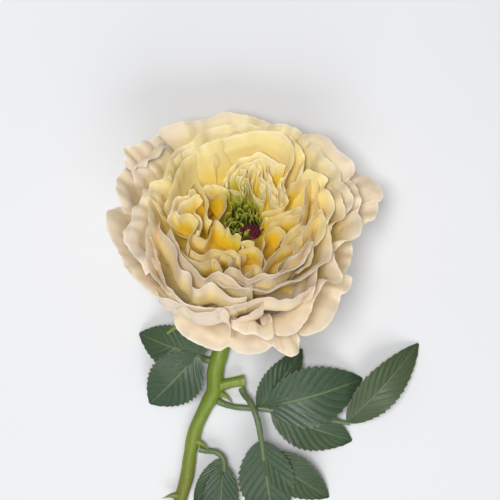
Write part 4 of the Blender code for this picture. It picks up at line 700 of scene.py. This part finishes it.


# %% [markdown]
# ## Where a petal is cream, gold or green
#
# The colour of these petals is not painted petal by petal. It follows the place: cream
# and a little pink where the petal saw the sun, yellow towards the heart, deep gold at
# the foot, and lime where the petals pass into the green eye; the lime reaches on into
# the folds at the front of the heart, where it is painted olive shade. Near the rim the
# petals are paler, partly their own colour and partly a painted highlight. Three
# numbers are worked out at every point and kept on the mesh for the material to read.

# %% The numbers behind the colour
# The green's reach runs down into the folds at the front of the heart, where it is painted olive shade inside the
# folds.
GREEN_MIDDLE, GREEN_REACH = np.array([0.0, 5.0]), np.array([9.0, 15.0])


def petal_tint(kind, layer, points, t, reach):
    """Warmth, greenness, and how near the rim is, at each point of a petal."""
    from_eye = np.linalg.norm(points[..., :2] - EYE, axis=-1)
    depth = (1 - t) * reach
    if kind == "guard":
        warmth = 0.05 + 0.25 * smooth_step(depth, 4, 40)
    elif layer == "front":
        middle_from_eye = np.linalg.norm(points[-1, :, :2].mean(axis=0) - EYE)
        warmth = 0.06 + 0.4 * smooth_step(depth, 1, 8) * smooth_step(middle_from_eye, 47, 39)
        warmth = warmth + 0.2 * smooth_step(from_eye, 36, 24)
    elif kind == "cup":
        warmth = 0.04 + 0.46 * smooth_step(from_eye, 43, 25) + 0.3 * smooth_step(depth, 3, 18)
    else:
        warmth = 0.26 + 0.22 * smooth_step(from_eye, 30, 14) + 0.75 * smooth_step(depth, 0.5, 9)
    in_green = np.linalg.norm((points[..., :2] - GREEN_MIDDLE) / GREEN_REACH, axis=-1)
    green = np.zeros_like(t) if kind in ("guard", "cup") else smooth_step(in_green, 1.15, 0.5)
    near_rim = smooth_step(depth, 1.0, 0.1)
    return np.stack([warmth, green, near_rim], -1)


# %% [markdown]
# ## A thin solid sheet
#
# A petal is a third of a millimetre thick, and thinner at its rim. A grid primitive is
# added, its points are moved onto the surface, and Solidify gives it its thickness, so
# that light can pass through it and an exported mesh is closed.

# %% Sheets from grids
def sheet(name, points, fields, thickness, rim_thickness):
    """A blade through a grid of world points in millimetres, carrying these fields."""
    rows, columns = points.shape[:2]
    bpy.ops.mesh.primitive_grid_add(x_subdivisions=columns - 1, y_subdivisions=rows - 1, size=2)
    piece = bpy.context.object
    piece.name = name
    mesh = piece.data
    flat = np.empty(len(mesh.vertices) * 3)
    mesh.vertices.foreach_get("co", flat)
    flat = flat.reshape(-1, 3)
    column = np.rint((flat[:, 0] + 1) / 2 * (columns - 1)).astype(int)
    row = np.rint((flat[:, 1] + 1) / 2 * (rows - 1)).astype(int)
    mesh.vertices.foreach_set("co", (points[row, column] * MM).ravel())
    for field, values in fields.items():
        data = mesh.attributes.new(field, "FLOAT_VECTOR", "POINT").data
        data.foreach_set("vector", values[row, column].ravel())
    body = piece.vertex_groups.new(name="body")
    for r in range(rows):
        share = 1 - (1 - rim_thickness / thickness) * (r / (rows - 1)) ** 3
        body.add([int(i) for i in np.flatnonzero(row == r)], share, "REPLACE")
    solidify = piece.modifiers.new("thickness", "SOLIDIFY")
    solidify.thickness = thickness * MM
    solidify.offset = 0
    solidify.vertex_group = "body"
    bpy.ops.object.modifier_apply(modifier=solidify.name)
    piece.vertex_groups.clear()
    bpy.ops.object.shade_smooth_by_angle(angle=math.radians(60))
    piece.select_set(False)
    return piece


def joined(name, parts, node, material):
    """Makes one piece of several, which stands for a solid of the frame."""
    bpy.ops.object.select_all(action="DESELECT")
    for part in parts:
        part.select_set(True)
    bpy.context.view_layer.objects.active = parts[0]
    if len(parts) > 1:
        bpy.ops.object.join()
    piece = bpy.context.object
    piece.name = name
    piece.data.materials.clear()
    piece.data.materials.append(material)
    piece.select_set(False)
    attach(piece, "root")
    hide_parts(node)
    piece.data.calc_loop_triangles()
    print(f"{name}: {len(piece.data.loop_triangles)} triangles")
    return piece


# %% [markdown]
# ## The petals' finish
#
# A petal is a soft, satin, slightly see-through skin. Its veins fan out from the foot
# and print through as fine ridges, the tissue between them is faintly blotched, and the
# rim, where two skins meet with nothing between, is paler: partly its own colour, partly
# a painted highlight for the light that the thin rim catches and lets through.
# Subsurface scattering is set as plain numbers, and the pattern only steers colour,
# roughness and relief.

# %% The petal material
def shade(red, green, blue):
    """A colour as a paint chart gives it, in the values that a shader works with."""
    return tuple(
        c / 12.92 if c <= 0.04045 else ((c + 0.055) / 1.055) ** 2.4
        for c in (red / 255, green / 255, blue / 255))


CREAM, BLUSH, BUTTER = shade(226, 206, 182), shade(210, 188, 176), shade(246, 222, 150)
GOLD, DEEP_GOLD, LIME = shade(242, 206, 54), shade(228, 180, 16), shade(178, 178, 34)
# The pale rim colour is partly the rim's own and partly a painted highlight.
PALE_AND_LIT_RIM = shade(252, 242, 214)


def petal_look(name):
    look = Look(name, {
        "Subsurface Weight": 0.35, "Subsurface Radius": (1.0, 0.85, 0.4), "Subsurface Scale": 0.001,
        "Sheen Weight": 0.15, "Sheen Roughness": 0.5, "Specular IOR Level": 0.35})
    blade = look.attribute("blade")
    warmth, green, near_rim = look.split(look.attribute("tint"))
    blotch = look.noise(look.place(), 160.0, 3.0)
    veins = look.noise(look.stretch(blade, (1.6, 0.12, 1.0)), 1.0, 3.0, 0.6)
    fine = look.noise(look.stretch(blade, (5.0, 1.2, 1.0)), 1.0, 2.0)
    warm = warmth + (blotch - 0.5) * 0.22 + (veins - 0.5) * 0.12
    colour = look.mix(warm.step(0.0, 0.55), CREAM, BUTTER)
    colour = look.mix(warm.step(0.5, 1.0), colour, GOLD)
    colour = look.mix(warm.step(0.95, 1.4), colour, DEEP_GOLD)
    blush = (blotch.step(0.5, 0.72) * warmth.step(0.5, 0.1)) * 0.55
    colour = look.mix(blush, colour, BLUSH)
    # Lime near the eye; in the front folds of the heart the same tint is painted olive shade.
    colour = look.mix(green * (0.85 - near_rim * 0.6), colour, LIME)
    # Paler at the rim: partly its own colour, partly a painted highlight on the thin, lit edge.
    colour = look.mix(near_rim * 0.45, colour, PALE_AND_LIT_RIM)
    relief = veins * 0.6 + fine * 0.4
    rough = veins * 0.15 + 0.42
    return look.finish({"Base Color": colour, "Roughness": rough, "Normal": look.bump(relief, 0.12, 0.6)})


cream_petals = petal_look("cream petal")
yellow_petals = petal_look("yellow petal")
print("petal materials ready")

# %% Every petal, layer by layer
PETAL_THICK, PETAL_RIM_THICK = 0.30, 0.08
LAYERS = {
    "guard_petals": ("guard_", "petals_outer"),
    "back_petals": ("back_", "petals_outer"),
    "left_petals": ("left_", "petals_outer"),
    "front_petals": ("front_", "petals_outer"),
    "right_petals": ("right_", "petals_outer"),
    "heart_back": ("top_", "petals_inner"),
    "heart_right": ("side_", "petals_inner"),
    "heart_front": ("low_", "petals_inner"),
    "heart_left": ("fold_", "petals_inner"),
}


def petal(name, number, inner=False):
    points, blade, tint = petal_surface(name, inner)
    blade[..., 2] = number * 7.0
    fields = {"blade": blade, "tint": tint}
    return sheet(name, laid_down(to_world(points)), fields, PETAL_THICK, PETAL_RIM_THICK)


for layer, (start, node) in LAYERS.items():
    made = [petal(name, number) for number, name in enumerate(PETALS) if name.startswith(start)]
    if start == "top_":
        made += [petal(name, number, True) for number, name in enumerate(PETALS) if name.startswith(start)]
    if node == "petals_outer":
        joined(layer, made, node, cream_petals)
    else:
        joined(layer, made, node, yellow_petals)

# %% [markdown]
# ## What the petals grow from
#
# Between the petals one looks down into deep, golden gaps. Under them sits the head of
# the stem. It is turned from a profile, with a Screw modifier, and gets the gold of the
# petals' feet, so that no gap looks through the flower.

# %% Turned pieces
OUTER_CORE = [(0, 5.3), (18, 7), (25, 12), (29, 12), (26, 5), (18, 0), (8, -2), (0, -2)]
INNER_CORE = [(0, 9), (7, 9), (11, 12), (14.5, 12), (14, 8), (10, 5.55), (0, 5.55)]
HIP = [
    (0, -2.35), (4.6, -2.35), (5.9, -2.9), (6.4, -4.2), (6.1, -6.2), (6.3, -8.2), (6.6, -10.2), (6.1, -12.6),
    (5.2, -14.6), (4.0, -16.4), (3.0, -17), (0, -17)]


def turned(name, profile, centre=(0.0, 0.0), steps=96):
    """A turned solid from its profile (radius, height), top first, standing in the bloom."""
    mesh = bpy.data.meshes.new(name)
    points = [(radius * MM, 0, height * MM) for radius, height in profile]
    mesh.from_pydata(points, [(i, i + 1) for i in range(len(points) - 1)], [])
    piece = bpy.data.objects.new(name, mesh)
    bpy.context.scene.collection.objects.link(piece)
    bpy.context.view_layer.objects.active = piece
    piece.select_set(True)
    screw = piece.modifiers.new("turned", "SCREW")
    screw.steps = screw.render_steps = steps
    screw.use_merge_vertices = True
    screw.merge_threshold = 0.05 * MM
    bpy.ops.object.modifier_apply(modifier=screw.name)
    sine, cosine = math.sin(AXIS_LIFT), math.cos(AXIS_LIFT)
    turn = Matrix(((1, 0, 0), (0, sine, cosine), (0, -cosine, sine))).to_4x4()
    foot = Vector(to_world(np.array([*centre, 0.0]))) * MM
    piece.data.transform(Matrix.Translation(foot) @ turn)
    bpy.ops.object.shade_smooth()
    piece.select_set(False)
    return piece


look = Look("petal feet", {"Roughness": 0.6, "Subsurface Weight": 0.2, "Subsurface Scale": 0.001})
patches = look.noise(look.place(), 220.0, 3.0)
petal_feet = look.finish({
    "Base Color": look.mix(patches, shade(214, 160, 30), shade(196, 176, 60)),
    "Normal": look.bump(patches, 0.3, 0.5)})
joined("head_of_the_stem", [turned("cup", OUTER_CORE)], "petals_outer", petal_feet)
joined("heart_of_the_head", [turned("heart", INNER_CORE)], "petals_inner", petal_feet)

# %% [markdown]
# ## The green eye
#
# The stamens of this rose have turned into a crowd of small crumpled green petals. One
# short strip is modelled by a rule: it stands on the button, curls over at its tip, and
# its edges crimp. A seeded draw gives each its size and turn, in rings that open out.

# %% Crumpled strips
EYE_RINGS = [(1.4, 11.8, 5), (3.0, 12.8, 8), (4.6, 14.2, 12), (6.2, 15.8, 15)]
EYE_SLOPE = 2.8  # how much higher the rings stand at the back
EYE_FLOOR = 9.6


def strip_surface(radius, height, azimuth, chance):
    """A small crumpled petal of the eye."""
    rows, columns = 14, 8
    out = np.array([math.cos(azimuth), math.sin(azimuth), 0])
    side = np.array([-math.sin(azimuth), math.cos(azimuth), 0])
    up = np.array([0, 0, 1.0])
    half = chance.uniform(0.6, 1.3)
    top = height + EYE_SLOPE * math.sin(azimuth) + chance.uniform(-1.5, 1.5)
    lean = chance.uniform(-1.8, 1.4)
    twist = chance.uniform(-1.6, 1.6)
    t = np.linspace(0, 1, rows + 1)[:, None, None]
    u = np.linspace(-1, 1, columns + 1)[None, :, None]
    width = half * (0.45 + 0.9 * np.sin(math.pi * np.clip(t * 0.82 + 0.08, 0, 1)))
    turn = twist * t
    across = side * np.cos(turn) + out * np.sin(turn)
    fold = chance.choice((-1, 1)) * 0.55 * width * u**2
    rib = out * (radius + lean * t**1.5) + up * (EYE_FLOOR + (top - EYE_FLOOR) * np.sin(t * 1.45))
    points = rib + across * width * u + out * fold
    crimp = np.sin(u * chance.uniform(3, 6) + t * chance.uniform(8, 15) + chance.uniform(0, 6))
    points = points + out * 0.28 * crimp * t + up * 0.25 * np.cos(u * 7 + chance.uniform(0, 6)) * t**3
    points[..., :2] += EYE
    blade = np.concatenate([u * width, t * (top - EYE_FLOOR) + 0 * u, 0 * t * u + azimuth * 9], -1)
    tint = np.concatenate([t + 0 * u, (radius / 6) + 0 * t * u, np.abs(u) + 0 * t], -1)
    return points, blade, tint


def crowd(rings, chance):
    strips = []
    for radius, height, count in rings:
        for number in range(count):
            azimuth = math.tau * (number + chance.uniform(-0.3, 0.3)) / count + radius
            where = EYE + radius * np.array([math.cos(azimuth), math.sin(azimuth)])
            if np.linalg.norm(where - KNOT) < KNOT_CLEAR:
                continue
            points, blade, tint = strip_surface(radius, height, azimuth, chance)
            fields = {"blade": blade, "tint": tint}
            strips.append(sheet("strip", to_world(points), fields, 0.3, 0.16))
    return strips


KNOT = np.array([3.2, 0.6])
KNOT_CLEAR = 3.0
look = Look("green petaloid", {
    "Subsurface Weight": 0.2, "Subsurface Radius": (0.6, 1.0, 0.3), "Subsurface Scale": 0.0008,
    "Specular IOR Level": 0.4})
height, outer, margin = look.split(look.attribute("tint"))
streaks = look.noise(look.stretch(look.attribute("blade"), (3.0, 0.4, 1.0)), 1.0, 3.0)
shift = height + (streaks - 0.5) * 0.5
# Dark olive at each strip's foot, lime higher up: the dark foot is painted shade in the gaps between the strips.
colour = look.mix(shift.step(0.2, 0.8), shade(56, 62, 10), shade(138, 148, 34))
colour = look.mix(shift.step(0.55, 1.05) * (outer * 0.6 + 0.3), colour, shade(196, 198, 78))
colour = look.mix(margin.step(0.6, 1.0) * 0.35, colour, shade(206, 212, 110))
green_petaloid = look.finish({
    "Base Color": colour, "Roughness": streaks * 0.2 + 0.38, "Normal": look.bump(streaks, 0.15, 0.6)})
BUTTON = [(0, 10.3), (3.5, 10.4), (5.5, 10.0), (5.4, 8.95), (0, 8.95)]
strips = crowd(EYE_RINGS, random.Random("eye"))
print(len(strips), "strips in the eye")
joined("eye_petaloids", strips + [turned("button", BUTTON, EYE)], "petaloids", green_petaloid)

# %% [markdown]
# ## The knot of stigmas
#
# In the middle of a rose the styles stand together in a knot, each with a round, sticky
# head. Each head is its own icosphere on a short tapered neck, with its own mesh, set
# in the spiral that seeds make.

# %% Round heads on short styles
STIGMAS = 46
STIGMA_SPIRAL = math.radians(137.5)
KNOT_SPREAD = (4.4, 2.5)


def stigma_heads():
    chance = random.Random("stigmas")
    heads = []
    for number in range(STIGMAS):
        turn, reach = STIGMA_SPIRAL * number, math.sqrt((number + 0.5) / STIGMAS)
        x, y = reach * math.cos(turn) * KNOT_SPREAD[0], reach * math.sin(turn) * KNOT_SPREAD[1]
        top = 13.0 - 1.4 * reach**2 + chance.uniform(-0.35, 0.35)
        place = to_world(np.array([KNOT[0] + x, KNOT[1] + y, top])) * MM
        size = chance.uniform(0.42, 0.62) * MM
        bpy.ops.mesh.primitive_ico_sphere_add(subdivisions=2, radius=size, location=place)
        head = bpy.context.object
        bpy.ops.object.transform_apply()
        foot = Vector(to_world(np.array([KNOT[0] + x * 0.7, KNOT[1] + y * 0.7, 10.6])) * MM)
        axis = Vector(place) - foot
        bpy.ops.mesh.primitive_cone_add(
            vertices=8, radius1=size * 0.35, radius2=size * 0.6, depth=axis.length,
            location=(Vector(place) + foot) / 2, rotation=axis.to_track_quat("Z", "Y").to_euler())
        style = bpy.context.object
        bpy.ops.object.transform_apply()
        for part in (head, style):
            bpy.context.view_layer.objects.active = part
            bpy.ops.object.shade_smooth()
            part.select_set(False)
        heads += [head, style]
    return heads


look = Look("burgundy stigma", {
    "Sheen Weight": 0.4, "Sheen Tint": (*shade(200, 90, 120), 1), "Specular IOR Level": 0.4})
flecks = look.noise(look.place(), 900.0, 2.0)
burgundy_stigma = look.finish({
    "Base Color": look.mix(flecks.step(0.35, 0.7), shade(62, 8, 18), shade(108, 24, 38)),
    "Roughness": flecks * 0.3 + 0.4, "Normal": look.bump(flecks, 0.15, 0.7)})
KNOT_BASE = [(0, 11.6), (2.3, 11.4), (3.2, 10.9), (3.2, 10.7), (0, 10.7)]
heads = stigma_heads() + [turned("knot base", KNOT_BASE, KNOT)]
joined("stigma_knot", heads, "stigmas", burgundy_stigma)

# %% [markdown]
# ## Stalks
#
# A stalk is a round tube along a route, thicker at its nodes. A poly curve with a bevel
# gives it; it is then made a mesh, and its caps are welded on. Its colour is told by
# where along the flower a point lies, so no seam shows where stalks meet.

# %% Tubes along a route
STEM_ROUTE = [
    (0, -12.3, 12.2, 3.1), (-0.3, -15.3, 9.3, 3.1), (-1.5, -20, 6, 3.2), (-4, -28, 3.7, 3.3),
    (-8, -39, 3.3, 3.3), (-11, -49, 3.3, 3.3), (-11.5, -57, 3.2, 3.2), (-15, -64, 2.8, 2.8),
    (-19, -73, 2.7, 2.7), (-21, -82, 2.7, 2.7), (-22.5, -92, 2.7, 2.7), (-25.5, -103, 2.7, 2.7),
    (-28.5, -118, 2.8, 2.8), (-30.5, -135, 2.9, 2.9)]
STUB_ROUTE = [(-11.5, -56, 3.2, 2.5), (-7, -54.5, 3.6, 2.2), (-3, -53.5, 4, 2.1), (0.5, -53, 4, 2.5)]
PRICKLES = [
    (0.42, 180, 6, 1.6), (0.28, 20, 3.5, 1.5), (0.6, 160, 5, 1.7), (0.78, 20, 5, 1.7), (0.9, 170, 5, 1.7)]


def tube(name, route, points, roundness=6, knobs=0.0, seed="tube"):
    """A round tube along places in the world with radii, in millimetres."""
    places = through(route, points)
    chance = random.Random(seed)
    along = np.linspace(0, 1, points)[:, None]
    places[:, 3] *= 1 + knobs * ripples(chance, along, 0.03, 0.15, 5)
    line = bpy.data.curves.new(name, "CURVE")
    line.dimensions = "3D"
    line.bevel_depth = MM
    line.bevel_resolution = roundness
    line.use_fill_caps = True
    spline = line.splines.new("POLY")
    spline.points.add(points - 1)
    for point, place in zip(spline.points, places):
        point.co = (*(place[:3] * MM), 1)
        point.radius = max(place[3], 0.03)
    piece = bpy.data.objects.new(name, line)
    bpy.context.scene.collection.objects.link(piece)
    bpy.ops.object.select_all(action="DESELECT")
    piece.select_set(True)
    bpy.context.view_layer.objects.active = piece
    bpy.ops.object.convert(target="MESH")
    bpy.ops.object.mode_set(mode="EDIT")
    bpy.ops.mesh.select_all(action="SELECT")
    bpy.ops.mesh.remove_doubles(threshold=0.005 * MM)
    bpy.ops.mesh.normals_make_consistent(inside=False)
    bpy.ops.object.mode_set(mode="OBJECT")
    bpy.ops.object.shade_smooth_by_angle(angle=math.radians(50))
    piece.select_set(False)
    return piece


def prickle(name, way, turn, length, foot_radius):
    """A hooked prickle, broad at its foot along the stem."""
    places = on_table(through(STEM_ROUTE, 101))
    step = round(way * 100)
    here, radius = places[step][:3], places[step][3]
    run = unit(places[step + 1][:3] - here)
    side = unit(np.cross(run, [0, 0, 1.0]))
    up = np.cross(side, run)
    out = side * math.cos(math.radians(turn)) + up * abs(math.sin(math.radians(turn)))
    route = []
    for s in (0, 0.25, 0.5, 0.75, 1.0):
        place = here + out * (radius * 0.7 + (length + radius * 0.3) * s) + run * length * 0.45 * s**2
        route.append((*place, foot_radius * (1 - s) ** 1.3 + 0.04))
    return tube(name, route, 14, roundness=3)


look = Look("green bark", {"Specular IOR Level": 0.45, "Coat Weight": 0.12, "Coat Roughness": 0.35})
place = look.place()
_, down, _ = look.split(place)
streaks = look.noise(look.stretch(place, (700.0, 90.0, 700.0)), 1.0, 3.0)
patches = look.noise(place, 130.0, 3.0)
aged = (down * -1000.0 + (patches - 0.5) * 60.0).step(30.0, 75.0)
colour = look.mix(patches, shade(96, 122, 28), shade(134, 152, 44))
colour = look.mix((streaks - 0.2) * 0.5, colour, shade(70, 92, 26))
colour = look.mix(aged * (streaks * 0.8 + 0.25), colour, shade(104, 70, 40))
specks = look.noise(place, 1400.0, 1.0).step(0.66, 0.74)
colour = look.mix(specks * 0.5, colour, shade(160, 150, 90))
green_bark = look.finish({
    "Base Color": colour, "Roughness": streaks * 0.2 + 0.35, "Normal": look.bump(streaks, 0.2, 0.5)})

parts = [tube("stem", on_table(STEM_ROUTE), 240, roundness=7, knobs=0.035, seed="stem")]
parts.append(tube("stub", on_table(STUB_ROUTE), 40, knobs=0.04, seed="stub"))
parts += [prickle(f"prickle {number}", *one) for number, one in enumerate(PRICKLES)]
joined("cut_stem", parts, "stem", green_bark)

# %% [markdown]
# ## The hip and its sepals
#
# Under the bloom the stem swells into the hip, and five sepals fold back from its rim.
# The hip is turned; a sepal is a long tapered blade with a rib and a few lobes along
# its edges, which are a matter of its outline only.

# %% Sepals
SEPALS = [(228, 37), (286, 34), (358, 30), (75, 18), (150, 24)]
SEPAL_HALF, SEPAL_FOOT = 3.2, (4.5, -5.0)
SEPAL_SAG, SEPAL_FALL, SEPAL_FOLD = 4.0, 2.0, 0.25


def sepal(azimuth, length):
    a = math.radians(azimuth)
    out = np.array([math.cos(a), math.sin(a), 0])
    side = np.array([-math.sin(a), math.cos(a), 0])
    chance = random.Random(azimuth)
    t = np.linspace(0, 1, 49)[:, None, None]
    u = np.linspace(-1, 1, 13)[None, :, None]
    lobes = 1 + 0.28 * np.maximum(0, np.sin(t * chance.uniform(18, 24) + np.sign(u))) * smooth_step(t, 0.1, 0.4)
    half = np.maximum(0.25, SEPAL_HALF * (1 - t) ** 0.75) * lobes
    rib = out * (SEPAL_FOOT[0] + length * t)
    rib[..., 2] += SEPAL_FOOT[1] - (SEPAL_SAG * np.sin(math.pi * t * 0.8) + SEPAL_FALL * t)[..., 0]
    points = rib + side * u * half
    points[..., 2] += (SEPAL_FOLD * half * np.abs(u) + 0.25 * np.sin(t * 22 + u * 3) * np.abs(u))[..., 0]
    blade = np.concatenate([u * half, t * length + 0 * u, 0 * t * u + azimuth], -1)
    tint = np.concatenate([t + 0 * u, np.abs(u) + 0 * t, 0 * t * u], -1)
    return sheet("sepal", laid_down(to_world(points)), {"blade": blade, "tint": tint}, 0.5, 0.3)


look = Look("sepal green", {"Specular IOR Level": 0.35, "Sheen Weight": 0.2, "Sheen Roughness": 0.4})
place = look.place()
along, edge, _ = look.split(look.attribute("tint"))
hairs = look.noise(place, 1600.0, 2.0)
patches = look.noise(place, 200.0, 3.0)
colour = look.mix(patches, shade(104, 128, 52), shade(138, 152, 72))
colour = look.mix(edge.step(0.7, 1.0) * 0.5, colour, shade(170, 178, 110))
colour = look.mix(edge.step(0.14, 0.0) * 0.4, colour, shade(160, 170, 96))
sepal_green = look.finish({
    "Base Color": colour, "Roughness": hairs * 0.25 + 0.4, "Normal": look.bump(hairs, 0.12, 0.7)})
parts = [sepal(*one) for one in SEPALS] + [turned("hip", HIP)]
joined("hip_and_sepals", parts, "calyx", sepal_green)

# %% [markdown]
# ## Leaves
#
# A rose leaf is a stalk with toothed leaflets. The blade quilts between its side veins,
# the teeth point to the tip, and the upper side has a waxy gloss. The leaflet is a grid
# shaped by one rule, its outline, its teeth and its quilting all told by how far along
# and how far across a point lies. The material draws the veins from the same numbers.

# %% Leaflets
LEAVES = {
    "leaf_right": (
        [(-10, -61.5, 2.9, 1.5), (-7.5, -62.6, 3.2, 1.3), (-2, -63.5, 5, 1.2), (10, -64, 6.5, 1.2),
         (26, -67, 6, 1.1), (42, -70, 4.5, 0.9)],
        [((9, -63, 6.6), (47, -53, 0.4), 12.5, 5), ((11, -65, 6.5), (43, -78, 0.4), 9.5, 3),
         ((41, -69.5, 4.6), (69, -39, 0.4), 8, 5), ((6, -63.8, 6), (23, -41, 1.4), 7, 4)]),
    "leaf_left": (
        [(-13.6, -45, 3.3, 1.5), (-15.3, -44.4, 4, 1.3), (-17, -43, 6.5, 1.2), (-18.5, -41.5, 8.5, 1.1)],
        [((-17.6, -41.8, 8.3), (-37, -63, 0.4), 11, 4), ((-17, -42, 8), (-41, -35, 0.4), 9, 4),
         ((-16.5, -42.5, 7.6), (-22, -22, 1.5), 6, 3)]),
    "leaf_low": (
        [(-0.6, -56.3, 4, 1.5), (0.4, -58.3, 5.5, 1.3), (3, -61, 9.5, 1.2), (5.5, -67, 12.5, 1.2),
         (7, -75, 13, 1.1), (8, -83, 12, 1)],
        [((6.8, -75, 13), (12, -111, 0.4), 11.5, 3), ((7.5, -80, 12.4), (34, -101, 0.4), 8.5, 3)]),
    "leaf_base": (
        [(-17.5, -80.7, 2.8, 1.5), (-15, -81.3, 3.2, 1.3), (-11, -81.5, 4.6, 1.2),
         (-8, -84, 5.5, 1.1), (-7.5, -89, 5.6, 1)],
        [((-8, -86, 5.6), (-10, -118, 0.4), 7.5, 2), ((-8.6, -84, 5.4), (-19.5, -104, 0.4), 4.5, 2)]),
}
TEETH, SIDE_VEINS, VEIN_SLANT = 15, 9, 0.34
LEAFLET_FOLD = 0.16
QUILT = 0.28


def leaflet(base, tip, half, arch, number):
    base, tip = np.array(base, float), np.array(tip, float)
    run = tip - base
    side = unit(np.array([-run[1], run[0], 0.0]))
    t = np.linspace(0, 1, 6 * TEETH + 1)[:, None]
    u = np.linspace(-1, 1, 29)[None, :]
    saw = (t * TEETH) % 1.0
    teeth = 1 - 0.10 * (1 - saw) * smooth_step(t, 0.03, 0.15) * np.abs(u) ** 6
    width = np.maximum(half * np.sin(math.pi * t**0.85) ** 0.75, 0.55) * teeth
    veins = (t - VEIN_SLANT * np.abs(u)) * SIDE_VEINS
    quilt = QUILT * np.cos(math.tau * veins) * np.abs(u) ** 0.5 * (1 - u**6) * smooth_step(t, 0.02, 0.2)
    points = np.zeros((*width.shape, 3))
    points += base + t[..., None] * run + (u * width)[..., None] * side
    points[..., 2] += arch * np.sin(math.pi * t) + LEAFLET_FOLD * width * np.abs(u) - quilt
    points[..., 2] += 0.5 * np.sin(t * 9 + number) * u**2 * np.sign(u) * np.sin(math.pi * t)
    blade = np.stack([u + 0 * t, t + 0 * u, 0 * t * u + number], -1)
    tint = np.stack([width * u, t * np.linalg.norm(run) + 0 * u, 0 * t * u + number * 11.0], -1)
    return sheet("leaflet", laid_down(on_table(points)), {"blade": blade, "tint": tint}, 0.42, 0.3)


look = Look("rose leaf", {"Specular IOR Level": 0.45, "Coat Weight": 0.15, "Coat Roughness": 0.3})
across, along, number = look.split(look.attribute("blade"))
millimetres = look.attribute("tint")
away = across.unlike(0.0)
phase = (along - away * VEIN_SLANT) * SIDE_VEINS
off_vein = phase.repeat().unlike(0.5)
side_vein = off_vein.step(0.435, 0.49)
rib = away.step(0.06, 0.02)
net = look.node("ShaderNodeTexVoronoi", {"feature": "DISTANCE_TO_EDGE"}, {"Vector": millimetres, "Scale": 1.1})
net_line = net.step(0.09, 0.0)
mottle = look.noise(look.stretch(millimetres, (0.12, 0.12, 1.0)), 1.0, 3.0)
colour = look.mix(mottle, shade(38, 62, 44), shade(58, 84, 56))
colour = look.mix((number * 0.37).repeat() * 0.35, colour, shade(84, 92, 40))
veined = side_vein.math("MAXIMUM", side_vein * 0.6, rib)
colour = look.mix(veined * 0.6, colour, shade(112, 130, 84))
colour = look.mix(net_line * 0.14, colour, shade(96, 116, 72))
colour = look.mix(away.step(0.93, 1.0) * 0.4, colour, shade(120, 96, 66))
relief = net_line * -0.25 - veined * 1.0
rose_leaf = look.finish({
    "Base Color": colour, "Roughness": mottle * 0.25 + 0.33, "Normal": look.bump(relief, 0.22, 0.7)})

for name, (route, leaflets) in LEAVES.items():
    parts = [leaflet(*one, number) for number, one in enumerate(leaflets)]
    stalk = tube(name + " stalk", on_table(route), 60, roundness=4, knobs=0.05, seed=name)
    joined(name.replace("leaf_", "toothed_leaf_"), parts + [stalk], name, rose_leaf)
